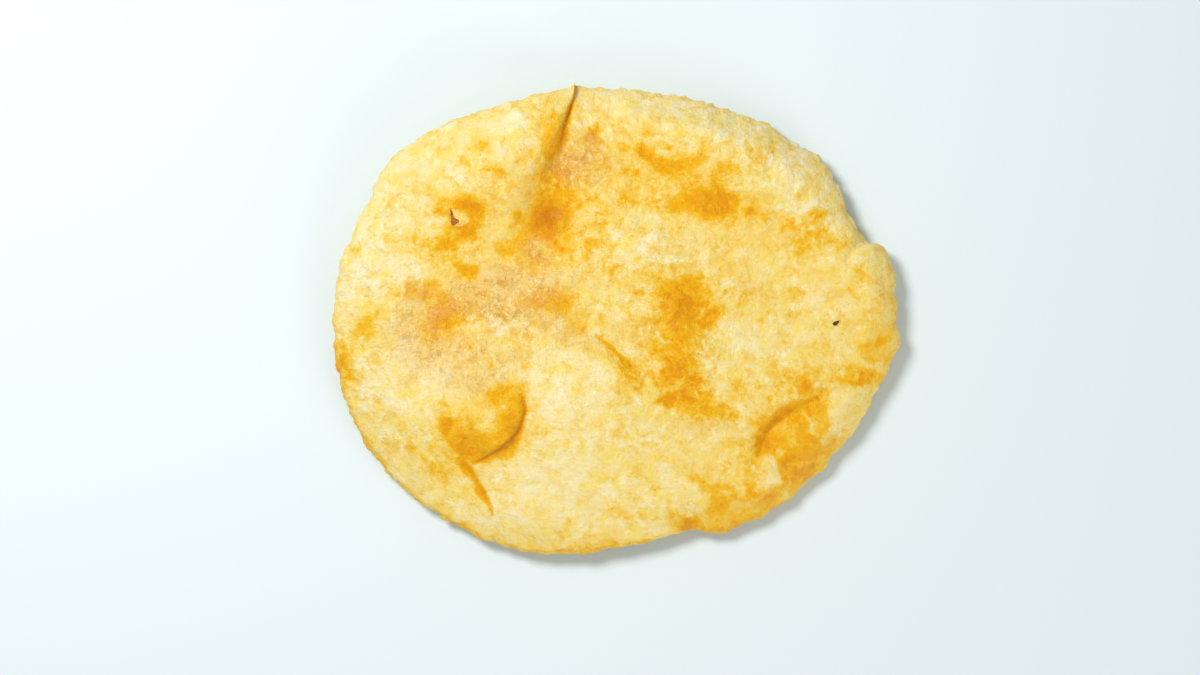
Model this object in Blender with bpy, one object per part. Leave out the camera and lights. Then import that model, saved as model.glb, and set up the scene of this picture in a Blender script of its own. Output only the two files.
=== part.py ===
"""A deep-fried puffed flatbread that has sunk back into folds and hollows, as one closed solid.

Metres, +Z up. The bread lies on the plane Z = 0, with its browner folded side up. The origin is on
that plane under the middle of the bread, +X runs along its longer side, and +Y runs to the rim
where the top skin is pinched into a pleat.
"""

import math
from dataclasses import dataclass

import bmesh
import bpy
import numpy as np

NAME = "bhatura"

# Driving dimensions
WIDTH = 0.220
DEPTH = 0.183
RIM_LIFT = 0.0065
RIM_LIFT_SWING = 0.0020
RIM_TURN = 0.6
RIM_ROUND_THIN = 0.0024
RIM_ROUND_PUFFY = 0.0036
PUFFIEST_BEARING = 55.0
SWELL = 0.0085
SWELL_RUN_THIN = 0.0150
SWELL_RUN_PUFFY = 0.0080
RELIEF_START = 0.0070
BELLY_RUN = 0.0360
BELLY_RUN_SWING = 0.0090
BELLY_TURN = 0.9
LEAST_THICKNESS = 0.0045

# Mesh density: cells across the sheet, the share of them in the round of the rim, faces kept
CELLS = 220
RIM_SHARE = 0.05
FACES_KEPT = 10800

# The outline seen from above, clockwise from the tip of the pleat
OUTLINE = [
    (-0.0175, 0.0915), (-0.0130, 0.0900), (0.0075, 0.0890), (0.0345, 0.0840), (0.0485, 0.0795),
    (0.0595, 0.0750), (0.0665, 0.0695), (0.0735, 0.0660), (0.0795, 0.0620), (0.0840, 0.0555),
    (0.0890, 0.0435), (0.0955, 0.0320), (0.0980, 0.0295), (0.1025, 0.0285), (0.1060, 0.0250),
    (0.1080, 0.0180), (0.1090, -0.0005), (0.1100, -0.0100), (0.1035, -0.0245), (0.0965, -0.0385),
    (0.0855, -0.0525), (0.0810, -0.0585), (0.0750, -0.0625), (0.0710, -0.0670), (0.0575, -0.0770),
    (0.0500, -0.0795), (0.0420, -0.0830), (0.0365, -0.0835), (0.0315, -0.0825), (0.0260, -0.0830),
    (0.0095, -0.0875), (-0.0185, -0.0915), (-0.0380, -0.0895), (-0.0555, -0.0835), (-0.0720, -0.0745),
    (-0.0880, -0.0610), (-0.1005, -0.0430), (-0.1075, -0.0250), (-0.1100, -0.0035), (-0.1080, 0.0185),
    (-0.1000, 0.0370), (-0.0930, 0.0525), (-0.0890, 0.0595), (-0.0825, 0.0660), (-0.0650, 0.0760),
    (-0.0415, 0.0840), (-0.0240, 0.0882), (-0.0200, 0.0892),
]


@dataclass(frozen=True)
class Mound:
    """A soft rise of the top skin, or a hollow where height is negative."""

    centre: tuple
    height: float
    reach: tuple
    turn: float = 0.0


@dataclass(frozen=True)
class Furrow:
    """A soft trough along a curve, or a ridge where depth is negative."""

    curve: tuple
    depth: float
    width: float


@dataclass(frozen=True)
class Fold:
    """A lip along a curve: the skin on the right of the curve's run stands over the skin on its left."""

    curve: tuple
    height: float
    band: tuple
    run_back: float
    overhang: float
    fade_in: float
    fade_out: float
    through_rim: bool = False


MOUNDS = [
    Mound((-0.0430, 0.0650), 0.0050, (0.024, 0.016), 60),
    Mound((-0.0795, 0.0495), 0.0040, (0.024, 0.020), 40),
    Mound((-0.0930, 0.0150), 0.0030, (0.012, 0.024), 10),
    Mound((-0.0565, -0.0355), 0.0050, (0.017, 0.014), 30),
    Mound((-0.0800, -0.0360), 0.0035, (0.022, 0.018), -35),
    Mound((-0.0090, -0.0420), 0.0055, (0.034, 0.028), 0),
    Mound((0.0130, 0.0230), 0.0045, (0.015, 0.011), -20),
    Mound((0.0270, -0.0110), 0.0025, (0.007, 0.016), 10),
    Mound((0.0650, 0.0080), -0.0025, (0.022, 0.024), 0),
    Mound((-0.0060, 0.0110), -0.0015, (0.018, 0.014), 0),
    Mound((0.0765, -0.0485), 0.0042, (0.017, 0.012), 45),
    Mound((0.0930, -0.0320), 0.0032, (0.009, 0.014), -35),
    Mound((0.0990, 0.0130), 0.0035, (0.009, 0.016), 0),
    Mound((0.0325, -0.0700), 0.0030, (0.022, 0.009), 10),
    Mound((-0.0370, -0.0760), 0.0020, (0.022, 0.009), -10),
    Mound((0.0570, -0.0690), 0.0030, (0.009, 0.007), 30),
    Mound((0.0590, -0.0580), 0.0018, (0.0032, 0.0055), 20),
    Mound((-0.0635, 0.0395), 0.0012, (0.006, 0.006), 0),
    Mound((-0.0630, 0.0390), -0.0018, (0.0010, 0.0018), 20),
    Mound((0.0915, 0.0195), 0.0010, (0.0022, 0.0036), -15),
    Mound((0.0125, 0.0255), 0.0008, (0.0028, 0.0022), 20),
]

# Small blisters scattered over the top skin
BLISTERS = 70
BLISTER_RADIUS = (0.0022, 0.0050)
BLISTER_RISE = 0.13
BLISTER_SPREAD = (0.100, 0.084)
BLISTER_SEED = 5

FURROWS = [
    Furrow(
        ((-0.0095, 0.0610), (-0.0185, 0.0495), (-0.0275, 0.0360), (-0.0370, 0.0185),
         (-0.0525, 0.0070), (-0.0720, -0.0025), (-0.0870, -0.0085)),
        0.0030, 0.0130,
    ),
    Furrow(
        ((-0.0025, 0.0795), (0.0190, 0.0760), (0.0420, 0.0690), (0.0615, 0.0590), (0.0755, 0.0455)),
        -0.0030, 0.0090,
    ),
    Furrow(
        ((0.0545, -0.0530), (0.0565, -0.0470), (0.0600, -0.0420), (0.0650, -0.0375), (0.0710, -0.0345),
         (0.0780, -0.0310), (0.0855, -0.0255), (0.0940, -0.0220)),
        0.0031, 0.0034,
    ),
    Furrow(
        ((-0.0595, -0.0555), (-0.0565, -0.0600), (-0.0535, -0.0655), (-0.0505, -0.0700), (-0.0480, -0.0745)),
        0.0018, 0.0018,
    ),
    Furrow(
        ((0.0980, 0.0305), (0.0940, 0.0280), (0.0905, 0.0255), (0.0890, 0.0215), (0.0905, 0.0175),
         (0.0930, 0.0145)),
        0.0015, 0.0016,
    ),
]

FOLDS = [
    Fold(
        ((-0.0174, 0.0940), (-0.0176, 0.0865), (-0.0198, 0.0800), (-0.0218, 0.0740), (-0.0230, 0.0685),
         (-0.0262, 0.0620), (-0.0303, 0.0535), (-0.0340, 0.0440), (-0.0385, 0.0320), (-0.0430, 0.0220)),
        height=0.0046, band=(0.0013, 0.0125), run_back=0.032, overhang=0.0022,
        fade_in=0.0, fade_out=0.50, through_rim=True,
    ),
    Fold(
        ((-0.0392, -0.0205), (-0.0372, -0.0275), (-0.0371, -0.0350), (-0.0392, -0.0415),
         (-0.0425, -0.0462), (-0.0476, -0.0500), (-0.0543, -0.0543)),
        height=0.0040, band=(0.0034, 0.0020), run_back=0.015, overhang=0.0012,
        fade_in=0.45, fade_out=0.25,
    ),
    Fold(
        ((-0.0170, 0.0000), (-0.0100, -0.0075), (-0.0030, -0.0130), (0.0035, -0.0185), (0.0110, -0.0235),
         (0.0200, -0.0285)),
        height=0.0024, band=(0.0040, 0.0030), run_back=0.026, overhang=0.0,
        fade_in=0.40, fade_out=0.40,
    ),
    Fold(
        ((0.0810, 0.0305), (0.0730, 0.0370), (0.0635, 0.0425), (0.0515, 0.0470), (0.0400, 0.0495),
         (0.0285, 0.0515), (0.0180, 0.0585), (0.0095, 0.0645), (0.0015, 0.0670), (-0.0100, 0.0680)),
        height=0.0040, band=(0.0065, 0.0055), run_back=0.040, overhang=0.0,
        fade_in=0.30, fade_out=0.30,
    ),
]

# Unevenness of the skin: (height, length of one lump, seed)
TOP_LUMPS = [(0.0009, 0.030, 11), (0.0005, 0.0115, 12)]
UNDERSIDE_LUMPS = [(0.0014, 0.026, 21), (0.0006, 0.0110, 22)]
UNDERSIDE_HOLLOWS = (0.0034, 0.0240, 24)
HOLLOW_START = 0.0007
FLAT_MIDDLE = 0.0260
RIM_WOBBLE = (0.0007, 0.0090, 31)
LATTICE = 64
LUMP_GAIN = 1.6

CRUST_COLOUR = (0.93, 0.72, 0.31, 1.0)
CRUST_ROUGHNESS = 0.55


def ease(x):
    """Smooth step from 0 to 1 as x goes from 0 to 1."""
    x = np.clip(x, 0.0, 1.0)
    return x * x * (3.0 - 2.0 * x)


def lumps(x, y, height, length, seed):
    """Smooth random unevenness, about height either way, with lumps of the given length."""
    turn = np.random.default_rng(seed).uniform(0.0, 2.0 * math.pi, (LATTICE, LATTICE))
    u, v = x / length, y / length
    column, row = np.floor(u).astype(int), np.floor(v).astype(int)
    across, up = u - column, v - row

    def corner(i, j):
        angle = turn[(column + i) % LATTICE, (row + j) % LATTICE]
        return np.cos(angle) * (across - i) + np.sin(angle) * (up - j)

    low = corner(0, 0) + (corner(1, 0) - corner(0, 0)) * ease(across)
    high = corner(0, 1) + (corner(1, 1) - corner(0, 1)) * ease(across)
    return LUMP_GAIN * height * (low + (high - low) * ease(up))


def smooth_curve(points, steps, closed=False):
    """Points along the smooth curve that passes through the given ones."""
    knots = np.array(points, float)
    if closed:
        knots = np.vstack([knots[-1:], knots, knots[:2]])
    else:
        knots = np.vstack([2 * knots[0] - knots[1], knots, 2 * knots[-1] - knots[-2]])
    t = np.linspace(0.0, 1.0, steps, endpoint=False)[:, None]
    spans = []
    for a, b, c, d in zip(knots, knots[1:], knots[2:], knots[3:]):
        spans.append(
            0.5 * (2 * b + (c - a) * t + (2 * a - 5 * b + 4 * c - d) * t**2 + (3 * b - a - 3 * c + d) * t**3)
        )
    if not closed:
        spans.append(knots[-2:-1])
    return np.vstack(spans)


def rim_radius(angle):
    """Distance from the middle to the outline in each direction, sized to WIDTH by DEPTH."""
    line = smooth_curve(OUTLINE, 12, closed=True)
    low, high = line.min(axis=0), line.max(axis=0)
    line = (line - (low + high) / 2) * np.array([WIDTH, DEPTH]) / (high - low)
    bearing = np.arctan2(line[:, 1], line[:, 0])
    order = np.argsort(bearing)
    return np.interp(angle, bearing[order], np.hypot(*line[order].T), period=2.0 * math.pi)


def along(x, y, curve):
    """Where each point lies by a curve: distance to its left, share of its length, way past its ends."""
    line = smooth_curve(curve, 16)
    tangent = np.gradient(line, axis=0)
    tangent /= np.linalg.norm(tangent, axis=1)[:, None]
    run = np.concatenate([[0.0], np.cumsum(np.linalg.norm(np.diff(line, axis=0), axis=1))])
    gap = (x[:, None] - line[:, 0]) ** 2 + (y[:, None] - line[:, 1]) ** 2
    nearest = np.argmin(gap, axis=1)
    dx, dy = x - line[nearest, 0], y - line[nearest, 1]
    tx, ty = tangent[nearest].T
    left = tx * dy - ty * dx
    ahead = tx * dx + ty * dy
    at_end = (nearest == 0) | (nearest == len(line) - 1)
    return left, run[nearest] / run[-1], np.where(at_end, np.abs(ahead), 0.0), (-ty, tx)


def mound_height(mound, x, y):
    """Height that one mound adds at each point."""
    turn = math.radians(mound.turn)
    dx, dy = x - mound.centre[0], y - mound.centre[1]
    u = (dx * math.cos(turn) + dy * math.sin(turn)) / mound.reach[0]
    v = (dy * math.cos(turn) - dx * math.sin(turn)) / mound.reach[1]
    return mound.height * np.exp(-(u * u + v * v))


def blister_height(x, y):
    """Height that the scattered small blisters add at each point."""
    draw = np.random.default_rng(BLISTER_SEED)
    height = np.zeros_like(x)
    for _ in range(BLISTERS):
        out = math.sqrt(draw.uniform(0.0, 1.0))
        bearing = draw.uniform(0.0, 2.0 * math.pi)
        radius = draw.uniform(*BLISTER_RADIUS)
        squash = draw.uniform(0.7, 1.0)
        turn = draw.uniform(0.0, math.pi)
        dx = x - BLISTER_SPREAD[0] * out * math.cos(bearing)
        dy = y - BLISTER_SPREAD[1] * out * math.sin(bearing)
        u = dx * math.cos(turn) + dy * math.sin(turn)
        v = (dy * math.cos(turn) - dx * math.sin(turn)) / squash
        dome = np.maximum(1.0 - (u * u + v * v) / radius**2, 0.0)
        height = np.maximum(height, BLISTER_RISE * radius * dome**1.5)
    return height


def furrow_height(furrow, x, y):
    """Height that one furrow adds at each point, fading out towards its far end."""
    left, share, past, _ = along(x, y, furrow.curve)
    fade = ease(share / 0.12 + 0.3) * (1.0 - 0.75 * ease((share - 0.4) / 0.6))
    return -furrow.depth * fade * np.exp(-(left**2 + past**2) / furrow.width**2)


def fold_shape(fold, x, y):
    """Height and sideways shift that one fold gives each point of the skin."""
    left, share, past, (nx, ny) = along(x, y, fold.curve)
    half = fold.band[0] + (fold.band[1] - fold.band[0]) * share**1.5
    strength = np.exp(-((past / (2.0 * half)) ** 2))
    if fold.fade_in:
        strength *= ease(share / fold.fade_in)
    if fold.fade_out:
        strength *= ease((1.0 - share) / fold.fade_out)
    rise = 1.0 - ease((left / half + 1.0) / 2.0)
    behind = np.maximum(-left - half, 0.0)
    lift = fold.height * strength * rise * np.exp(-((behind / fold.run_back) ** 2))
    sharpness = fold.band[0] / half
    push = fold.overhang * strength * sharpness * np.exp(-(((left + 0.7 * half) / (1.1 * half)) ** 2))
    return lift, push * nx, push * ny


def sheet_points(grid):
    """Spreads a square grid over the bread's outline: bearing, share of the radius, and place."""
    u, v = grid[:, 0], grid[:, 1]
    ring = np.maximum(np.abs(u), np.abs(v))
    wide = np.abs(u) >= np.abs(v)
    safe_u, safe_v = np.where(u == 0.0, 1.0, u), np.where(v == 0.0, 1.0, v)
    angle = np.where(
        wide,
        math.pi / 4 * v / safe_u + np.where(u < 0.0, math.pi, 0.0),
        math.pi / 2 * np.where(v < 0.0, -1.0, 1.0) - math.pi / 4 * u / safe_v,
    )
    from_rim = 1.0 - ring
    from_rim = np.where(from_rim < RIM_SHARE, from_rim**2 / (2 * RIM_SHARE), from_rim - RIM_SHARE / 2)
    share = 1.0 - from_rim / (1.0 - RIM_SHARE / 2)
    radius = rim_radius(angle)
    wobble = lumps(np.cos(angle) * WIDTH / 2, np.sin(angle) * WIDTH / 2, *RIM_WOBBLE)
    return angle, share, radius + wobble * share**8


def puffiness(angle):
    """From 0 on the thin edge at the lower left to 1 on the full edge at the upper right."""
    return 0.5 + 0.5 * np.cos(angle - math.radians(PUFFIEST_BEARING))


def top_relief(x, y):
    """Height of every mound, furrow, blister and lump of the top skin at each point."""
    height = blister_height(x, y)
    for mound in MOUNDS:
        height += mound_height(mound, x, y)
    for furrow in FURROWS:
        height += furrow_height(furrow, x, y)
    for size in TOP_LUMPS:
        height += lumps(x, y, *size)
    return height


def folds_together(x, y, inside):
    """Lift and sideways shift of the folds: first of those inside the rim, then of those through it."""
    within, through = np.zeros((3, len(x))), np.zeros((3, len(x)))
    for fold in FOLDS:
        moved = np.array(fold_shape(fold, x, y))
        if fold.through_rim:
            through += moved
        else:
            within += moved * inside
    return within, through


def both_skins(grid):
    """Points of the top skin and of the underside for each point of the square grid."""
    angle, share, radius = sheet_points(grid)
    x, y = radius * share * np.cos(angle), radius * share * np.sin(angle)
    inward = (1.0 - share) * radius
    full = puffiness(angle)
    rim_round = RIM_ROUND_THIN + (RIM_ROUND_PUFFY - RIM_ROUND_THIN) * full
    swell_run = SWELL_RUN_THIN + (SWELL_RUN_PUFFY - SWELL_RUN_THIN) * full
    belly_run = BELLY_RUN + BELLY_RUN_SWING * np.sin(2.0 * angle + BELLY_TURN) * np.cos(3.0 * angle)
    belly = ease(inward / belly_run)
    round_over = np.sqrt(1.0 - (1.0 - np.minimum(inward / rim_round, 1.0)) ** 2)
    round_over *= rim_round + (RIM_ROUND_PUFFY - rim_round) * belly
    rim_height = RIM_LIFT + RIM_LIFT_SWING * np.sin(3.0 * angle + RIM_TURN) * (1.0 - belly)
    inside = 1.0 - np.exp(-((inward / RELIEF_START) ** 2))
    within, through = folds_together(x, y, inside)

    pressed_up = sum(np.abs(lumps(x, y, *size)) for size in UNDERSIDE_LUMPS) * inside
    under = (rim_height - round_over + through[0] + pressed_up) * (1.0 - belly)
    hollows = np.maximum(lumps(x, y, *UNDERSIDE_HOLLOWS) - HOLLOW_START, 0.0)
    under += hollows * inside * ease(np.hypot(x, y) / FLAT_MIDDLE - 1.0)

    top = rim_height + round_over + SWELL * (1.0 - np.exp(-inward / swell_run))
    top += top_relief(x, y) * inside + within[0] + through[0]
    top = np.where(inward > rim_round, np.maximum(top, under + LEAST_THICKNESS), top)

    top_skin = np.column_stack([x + within[1] + through[1], y + within[2] + through[2], top])
    rim_shift = through[1:] * (1.0 - belly)
    underside = np.column_stack([x + rim_shift[0], y + rim_shift[1], under])
    return top_skin, underside


def bread_mesh():
    """The closed skin of the bread: a grid and its copy shaped as top and underside, welded at the rim."""
    form = bmesh.new()
    bmesh.ops.create_grid(form, x_segments=CELLS, y_segments=CELLS, size=1.0)
    verts = list(form.verts)
    copied = bmesh.ops.duplicate(form, geom=verts + list(form.edges) + list(form.faces))
    under_faces = [item for item in copied["geom"] if isinstance(item, bmesh.types.BMFace)]
    bmesh.ops.reverse_faces(form, faces=under_faces)
    twin = copied["vert_map"]
    top_skin, underside = both_skins(np.array([vert.co[:2] for vert in verts]))
    for vert, above, below in zip(verts, top_skin, underside):
        vert.co = above
        twin[vert].co = below
    bmesh.ops.remove_doubles(form, verts=form.verts, dist=1e-6)
    bmesh.ops.triangulate(form, faces=form.faces)
    mesh = bpy.data.meshes.new(NAME)
    form.to_mesh(mesh)
    form.free()
    return mesh


def centre_on_origin(mesh):
    """Moves the mesh so that its box is centred over the origin and stands on Z = 0."""
    points = np.empty(len(mesh.vertices) * 3)
    mesh.vertices.foreach_get("co", points)
    points = points.reshape(-1, 3)
    middle = (points.min(axis=0) + points.max(axis=0)) / 2
    points -= (middle[0], middle[1], points[:, 2].min())
    mesh.vertices.foreach_set("co", points.ravel())
    mesh.update()


def crust_material():
    """Pale golden fried crust."""
    material = bpy.data.materials.new("fried_crust")
    material.use_nodes = True
    shader = material.node_tree.nodes["Principled BSDF"]
    shader.inputs["Base Color"].default_value = CRUST_COLOUR
    shader.inputs["Roughness"].default_value = CRUST_ROUGHNESS
    shader.inputs["Metallic"].default_value = 0.0
    return material


def main():
    """Clears the scene and builds the bread in its own collection."""
    for old in list(bpy.data.objects):
        bpy.data.objects.remove(old)
    collection = bpy.data.collections.new(NAME)
    bpy.context.scene.collection.children.link(collection)
    mesh = bread_mesh()
    centre_on_origin(mesh)
    mesh.shade_smooth()
    mesh.materials.append(crust_material())
    bread = bpy.data.objects.new(NAME, mesh)
    collection.objects.link(bread)
    thin = bread.modifiers.new("fewer_faces", "DECIMATE")
    thin.ratio = FACES_KEPT / len(mesh.polygons)


main()
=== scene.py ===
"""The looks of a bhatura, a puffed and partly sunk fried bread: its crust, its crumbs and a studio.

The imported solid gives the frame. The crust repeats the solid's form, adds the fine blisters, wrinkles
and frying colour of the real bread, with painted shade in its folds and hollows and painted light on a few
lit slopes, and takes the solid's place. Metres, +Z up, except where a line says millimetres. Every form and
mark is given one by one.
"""

import logging
import math
from dataclasses import dataclass, field
from enum import Enum
from typing import Any

import bmesh
import bpy
import numpy as np
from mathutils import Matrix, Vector


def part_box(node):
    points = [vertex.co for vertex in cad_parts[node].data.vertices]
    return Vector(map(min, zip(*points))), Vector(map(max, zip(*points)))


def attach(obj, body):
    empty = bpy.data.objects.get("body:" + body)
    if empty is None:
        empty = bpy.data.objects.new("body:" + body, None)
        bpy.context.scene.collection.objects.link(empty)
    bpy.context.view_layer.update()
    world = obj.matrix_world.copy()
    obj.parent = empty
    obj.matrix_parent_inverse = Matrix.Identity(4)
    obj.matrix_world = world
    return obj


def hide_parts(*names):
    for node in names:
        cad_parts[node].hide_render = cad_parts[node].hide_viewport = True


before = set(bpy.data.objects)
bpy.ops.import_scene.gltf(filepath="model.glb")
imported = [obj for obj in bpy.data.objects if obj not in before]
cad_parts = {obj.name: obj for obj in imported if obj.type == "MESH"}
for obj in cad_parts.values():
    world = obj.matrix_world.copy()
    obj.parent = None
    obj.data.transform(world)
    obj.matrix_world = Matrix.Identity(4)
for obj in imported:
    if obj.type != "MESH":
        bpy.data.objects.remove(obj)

LOG = logging.getLogger("bhatura")
NODE = "bhatura"
BODY = "root"
MM = 0.001
ABOVE = 0.2

Array = np.ndarray
Point = tuple[float, float]
Span = tuple[float, float, float, float]
Colour = tuple[float, float, float, float]


def srgb(red: int, green: int, blue: int) -> Colour:
    """Turns a colour as a screen shows it into the linear values that a shader takes.

    Args:
        red, green, blue: The colour's parts from 0 to 255.

    Returns:
        Linear red, green, blue and a full alpha.
    """
    parts = [part / 255.0 for part in (red, green, blue)]
    linear = [c / 12.92 if c <= 0.04045 else ((c + 0.055) / 1.055) ** 2.4 for c in parts]
    return (linear[0], linear[1], linear[2], 1.0)


def ease(x: Array) -> Array:
    """Smooth step from 0 to 1 as x goes from 0 to 1."""
    x = np.clip(x, 0.0, 1.0)
    return x * x * (3.0 - 2.0 * x)


def blend(ends: tuple[Any, Any], share: Any) -> Any:
    """Value that lies a share of the way from the first of two ends to the second."""
    return ends[0] + (ends[1] - ends[0]) * share


def turned(dx: Array, dy: Array, turn: float) -> tuple[Array, Array]:
    """Distances along and across a direction that stands so many radians from X."""
    return dx * math.cos(turn) + dy * math.sin(turn), dy * math.cos(turn) - dx * math.sin(turn)


def oval(centre: Point, reach: Point, turn: float, x: Array, y: Array) -> Array:
    """Squared distance from the middle of an oval, 1 on the oval itself.

    Args:
        centre: The oval's middle.
        reach: Its half-lengths.
        turn: Degrees between X and its first half-length.
        x, y: Places on the bread.

    Returns:
        The squared distances.
    """
    along, across = turned(x - centre[0], y - centre[1], math.radians(turn))
    return (along / reach[0]) ** 2 + (across / reach[1]) ** 2


def smooth_curve(points: tuple[Point, ...], steps: int, closed: bool = False) -> Array:
    """Points along the smooth curve that passes through the given ones.

    Args:
        points: The points to pass through.
        steps: How many points each span gets.
        closed: Whether the curve runs back to its first point.

    Returns:
        An array of points, one row each.
    """
    knots = np.array(points, float)
    if closed:
        knots = np.vstack([knots[-1:], knots, knots[:2]])
    else:
        knots = np.vstack([2 * knots[0] - knots[1], knots, 2 * knots[-1] - knots[-2]])
    t = np.linspace(0.0, 1.0, steps, endpoint=False)[:, None]
    spans = []
    for a, b, c, d in zip(knots, knots[1:], knots[2:], knots[3:]):
        bend, twist = 2 * a - 5 * b + 4 * c - d, 3 * b - a - 3 * c + d
        spans.append(0.5 * (2 * b + (c - a) * t + bend * t**2 + twist * t**3))
    if not closed:
        spans.append(knots[-2:-1])
    return np.vstack(spans)


@dataclass(frozen=True)
class Lumps:
    """Smooth random unevenness with lumps of one size."""

    height: float
    length: float
    seed: int
    lattice: int = 64
    gain: float = 1.6

    def at(self, x: Array, y: Array) -> Array:
        """Height at each point, about self.height either way.

        Args:
            x, y: Places on the bread.

        Returns:
            The heights.
        """
        size = (self.lattice, self.lattice)
        turn = np.random.default_rng(self.seed).uniform(0.0, 2.0 * math.pi, size)
        u, v = x / self.length, y / self.length
        column, row = np.floor(u).astype(int), np.floor(v).astype(int)
        across, up = u - column, v - row

        def corner(i: int, j: int) -> Array:
            """Pull of one lattice corner on each point."""
            angle = turn[(column + i) % self.lattice, (row + j) % self.lattice]
            return np.cos(angle) * (across - i) + np.sin(angle) * (up - j)

        low = blend((corner(0, 0), corner(1, 0)), ease(across))
        high = blend((corner(0, 1), corner(1, 1)), ease(across))
        return self.gain * self.height * blend((low, high), ease(up))


@dataclass(frozen=True)
class Mound:
    """A soft rise of the top skin, or a hollow where the height is negative."""

    centre: Point
    height: float
    reach: Point
    turn: float = 0.0

    def at(self, x: Array, y: Array) -> Array:
        """Height that the mound adds at each point."""
        return self.height * np.exp(-oval(self.centre, self.reach, self.turn, x, y))


@dataclass
class Placed:
    """Where points lie by a curve."""

    near: Array
    left: Array
    share: Array
    past: Array
    normal: Array


def place_by(points: tuple[Point, ...], x: Array, y: Array, reach: float) -> Placed:
    """Finds where points lie by a curve, for those within reach of it.

    Args:
        points: The curve's own points.
        x, y: Places on the bread.
        reach: How far from the curve a point still counts.

    Returns:
        The indices of the near points, and for each its distance to the curve's left, its share of the
        curve's length, how far it lies past an end, and the direction to the left.
    """
    line = smooth_curve(points, 16)
    low, high = line.min(axis=0) - reach, line.max(axis=0) + reach
    near = np.nonzero((x > low[0]) & (x < high[0]) & (y > low[1]) & (y < high[1]))[0]
    tangent = np.gradient(line, axis=0)
    tangent /= np.linalg.norm(tangent, axis=1)[:, None]
    run = np.concatenate([[0.0], np.cumsum(np.linalg.norm(np.diff(line, axis=0), axis=1))])
    px, py = x[near], y[near]
    gap = (px[:, None] - line[:, 0]) ** 2 + (py[:, None] - line[:, 1]) ** 2
    nearest = np.argmin(gap, axis=1)
    dx, dy = px - line[nearest, 0], py - line[nearest, 1]
    tx, ty = tangent[nearest].T
    at_end = (nearest == 0) | (nearest == len(line) - 1)
    past = np.where(at_end, np.abs(tx * dx + ty * dy), 0.0)
    return Placed(near, tx * dy - ty * dx, run[nearest] / run[-1], past, np.array([-ty, tx]))


@dataclass(frozen=True)
class Furrow:
    """A soft trough along a curve, or a ridge where the depth is negative."""

    curve: tuple[Point, ...]
    depth: float
    width: float
    start: float = 0.3
    full_after: float = 0.12
    fades_after: float = 0.4
    far_loss: float = 0.75

    def at(self, x: Array, y: Array) -> Array:
        """Height that the furrow adds at each point, fading out towards its far end.

        Args:
            x, y: Places on the bread.

        Returns:
            The heights.
        """
        by = place_by(self.curve, x, y, 4.0 * self.width)
        fading = ease((by.share - self.fades_after) / (1.0 - self.fades_after))
        fade = ease(by.share / self.full_after + self.start) * (1.0 - self.far_loss * fading)
        height = np.zeros_like(x)
        height[by.near] = -self.depth * fade * np.exp(-(by.left**2 + by.past**2) / self.width**2)
        return height


@dataclass(frozen=True)
class Fold:
    """A lip along a curve: the skin on the right of the curve's run stands over the skin on its left."""

    curve: tuple[Point, ...]
    height: float
    band: Point
    run_back: float
    overhang: float
    fade_in: float
    fade_out: float
    through_rim: bool = False
    widening: float = 1.5
    lip_place: float = 0.7
    lip_width: float = 1.1

    def shape(self, x: Array, y: Array) -> Array:
        """Lift and sideways shift that the fold gives each point.

        Args:
            x, y: Places on the bread.

        Returns:
            Three rows: lift, shift along X and shift along Y.
        """
        by = place_by(self.curve, x, y, 3.5 * self.run_back)
        half = blend(self.band, by.share**self.widening)
        strength = np.exp(-((by.past / (2.0 * half)) ** 2))
        if self.fade_in:
            strength *= ease(by.share / self.fade_in)
        if self.fade_out:
            strength *= ease((1.0 - by.share) / self.fade_out)
        rise = 1.0 - ease((by.left / half + 1.0) / 2.0)
        behind = np.maximum(-by.left - half, 0.0)
        sharpness = self.band[0] / half
        at_lip = np.exp(-(((by.left + self.lip_place * half) / (self.lip_width * half)) ** 2))
        push = self.overhang * strength * sharpness * at_lip
        moved = np.zeros((3, len(x)))
        moved[0, by.near] = self.height * strength * rise * np.exp(-((behind / self.run_back) ** 2))
        moved[1:, by.near] = push * by.normal
        return moved


@dataclass(frozen=True)
class ScatteredBlisters:
    """Blisters drawn at random over an oval."""

    count: int = 70
    radius: Point = (0.0022, 0.0050)
    rise: float = 0.13
    squash: Point = (0.7, 1.0)
    spread: Point = (0.100, 0.084)
    seed: int = 5

    def at(self, x: Array, y: Array) -> Array:
        """Height that the blisters add at each point.

        Args:
            x, y: Places on the bread.

        Returns:
            The heights.
        """
        draw = np.random.default_rng(self.seed)
        height = np.zeros_like(x)
        for _ in range(self.count):
            out = math.sqrt(draw.uniform(0.0, 1.0))
            bearing = draw.uniform(0.0, 2.0 * math.pi)
            radius = draw.uniform(*self.radius)
            squash = draw.uniform(*self.squash)
            turn = draw.uniform(0.0, math.pi)
            dx = x - self.spread[0] * out * math.cos(bearing)
            dy = y - self.spread[1] * out * math.sin(bearing)
            along, across = turned(dx, dy, turn)
            dome = np.maximum(1.0 - (along**2 + (across / squash) ** 2) / radius**2, 0.0)
            height = np.maximum(height, self.rise * radius * dome**1.5)
        return height


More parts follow.
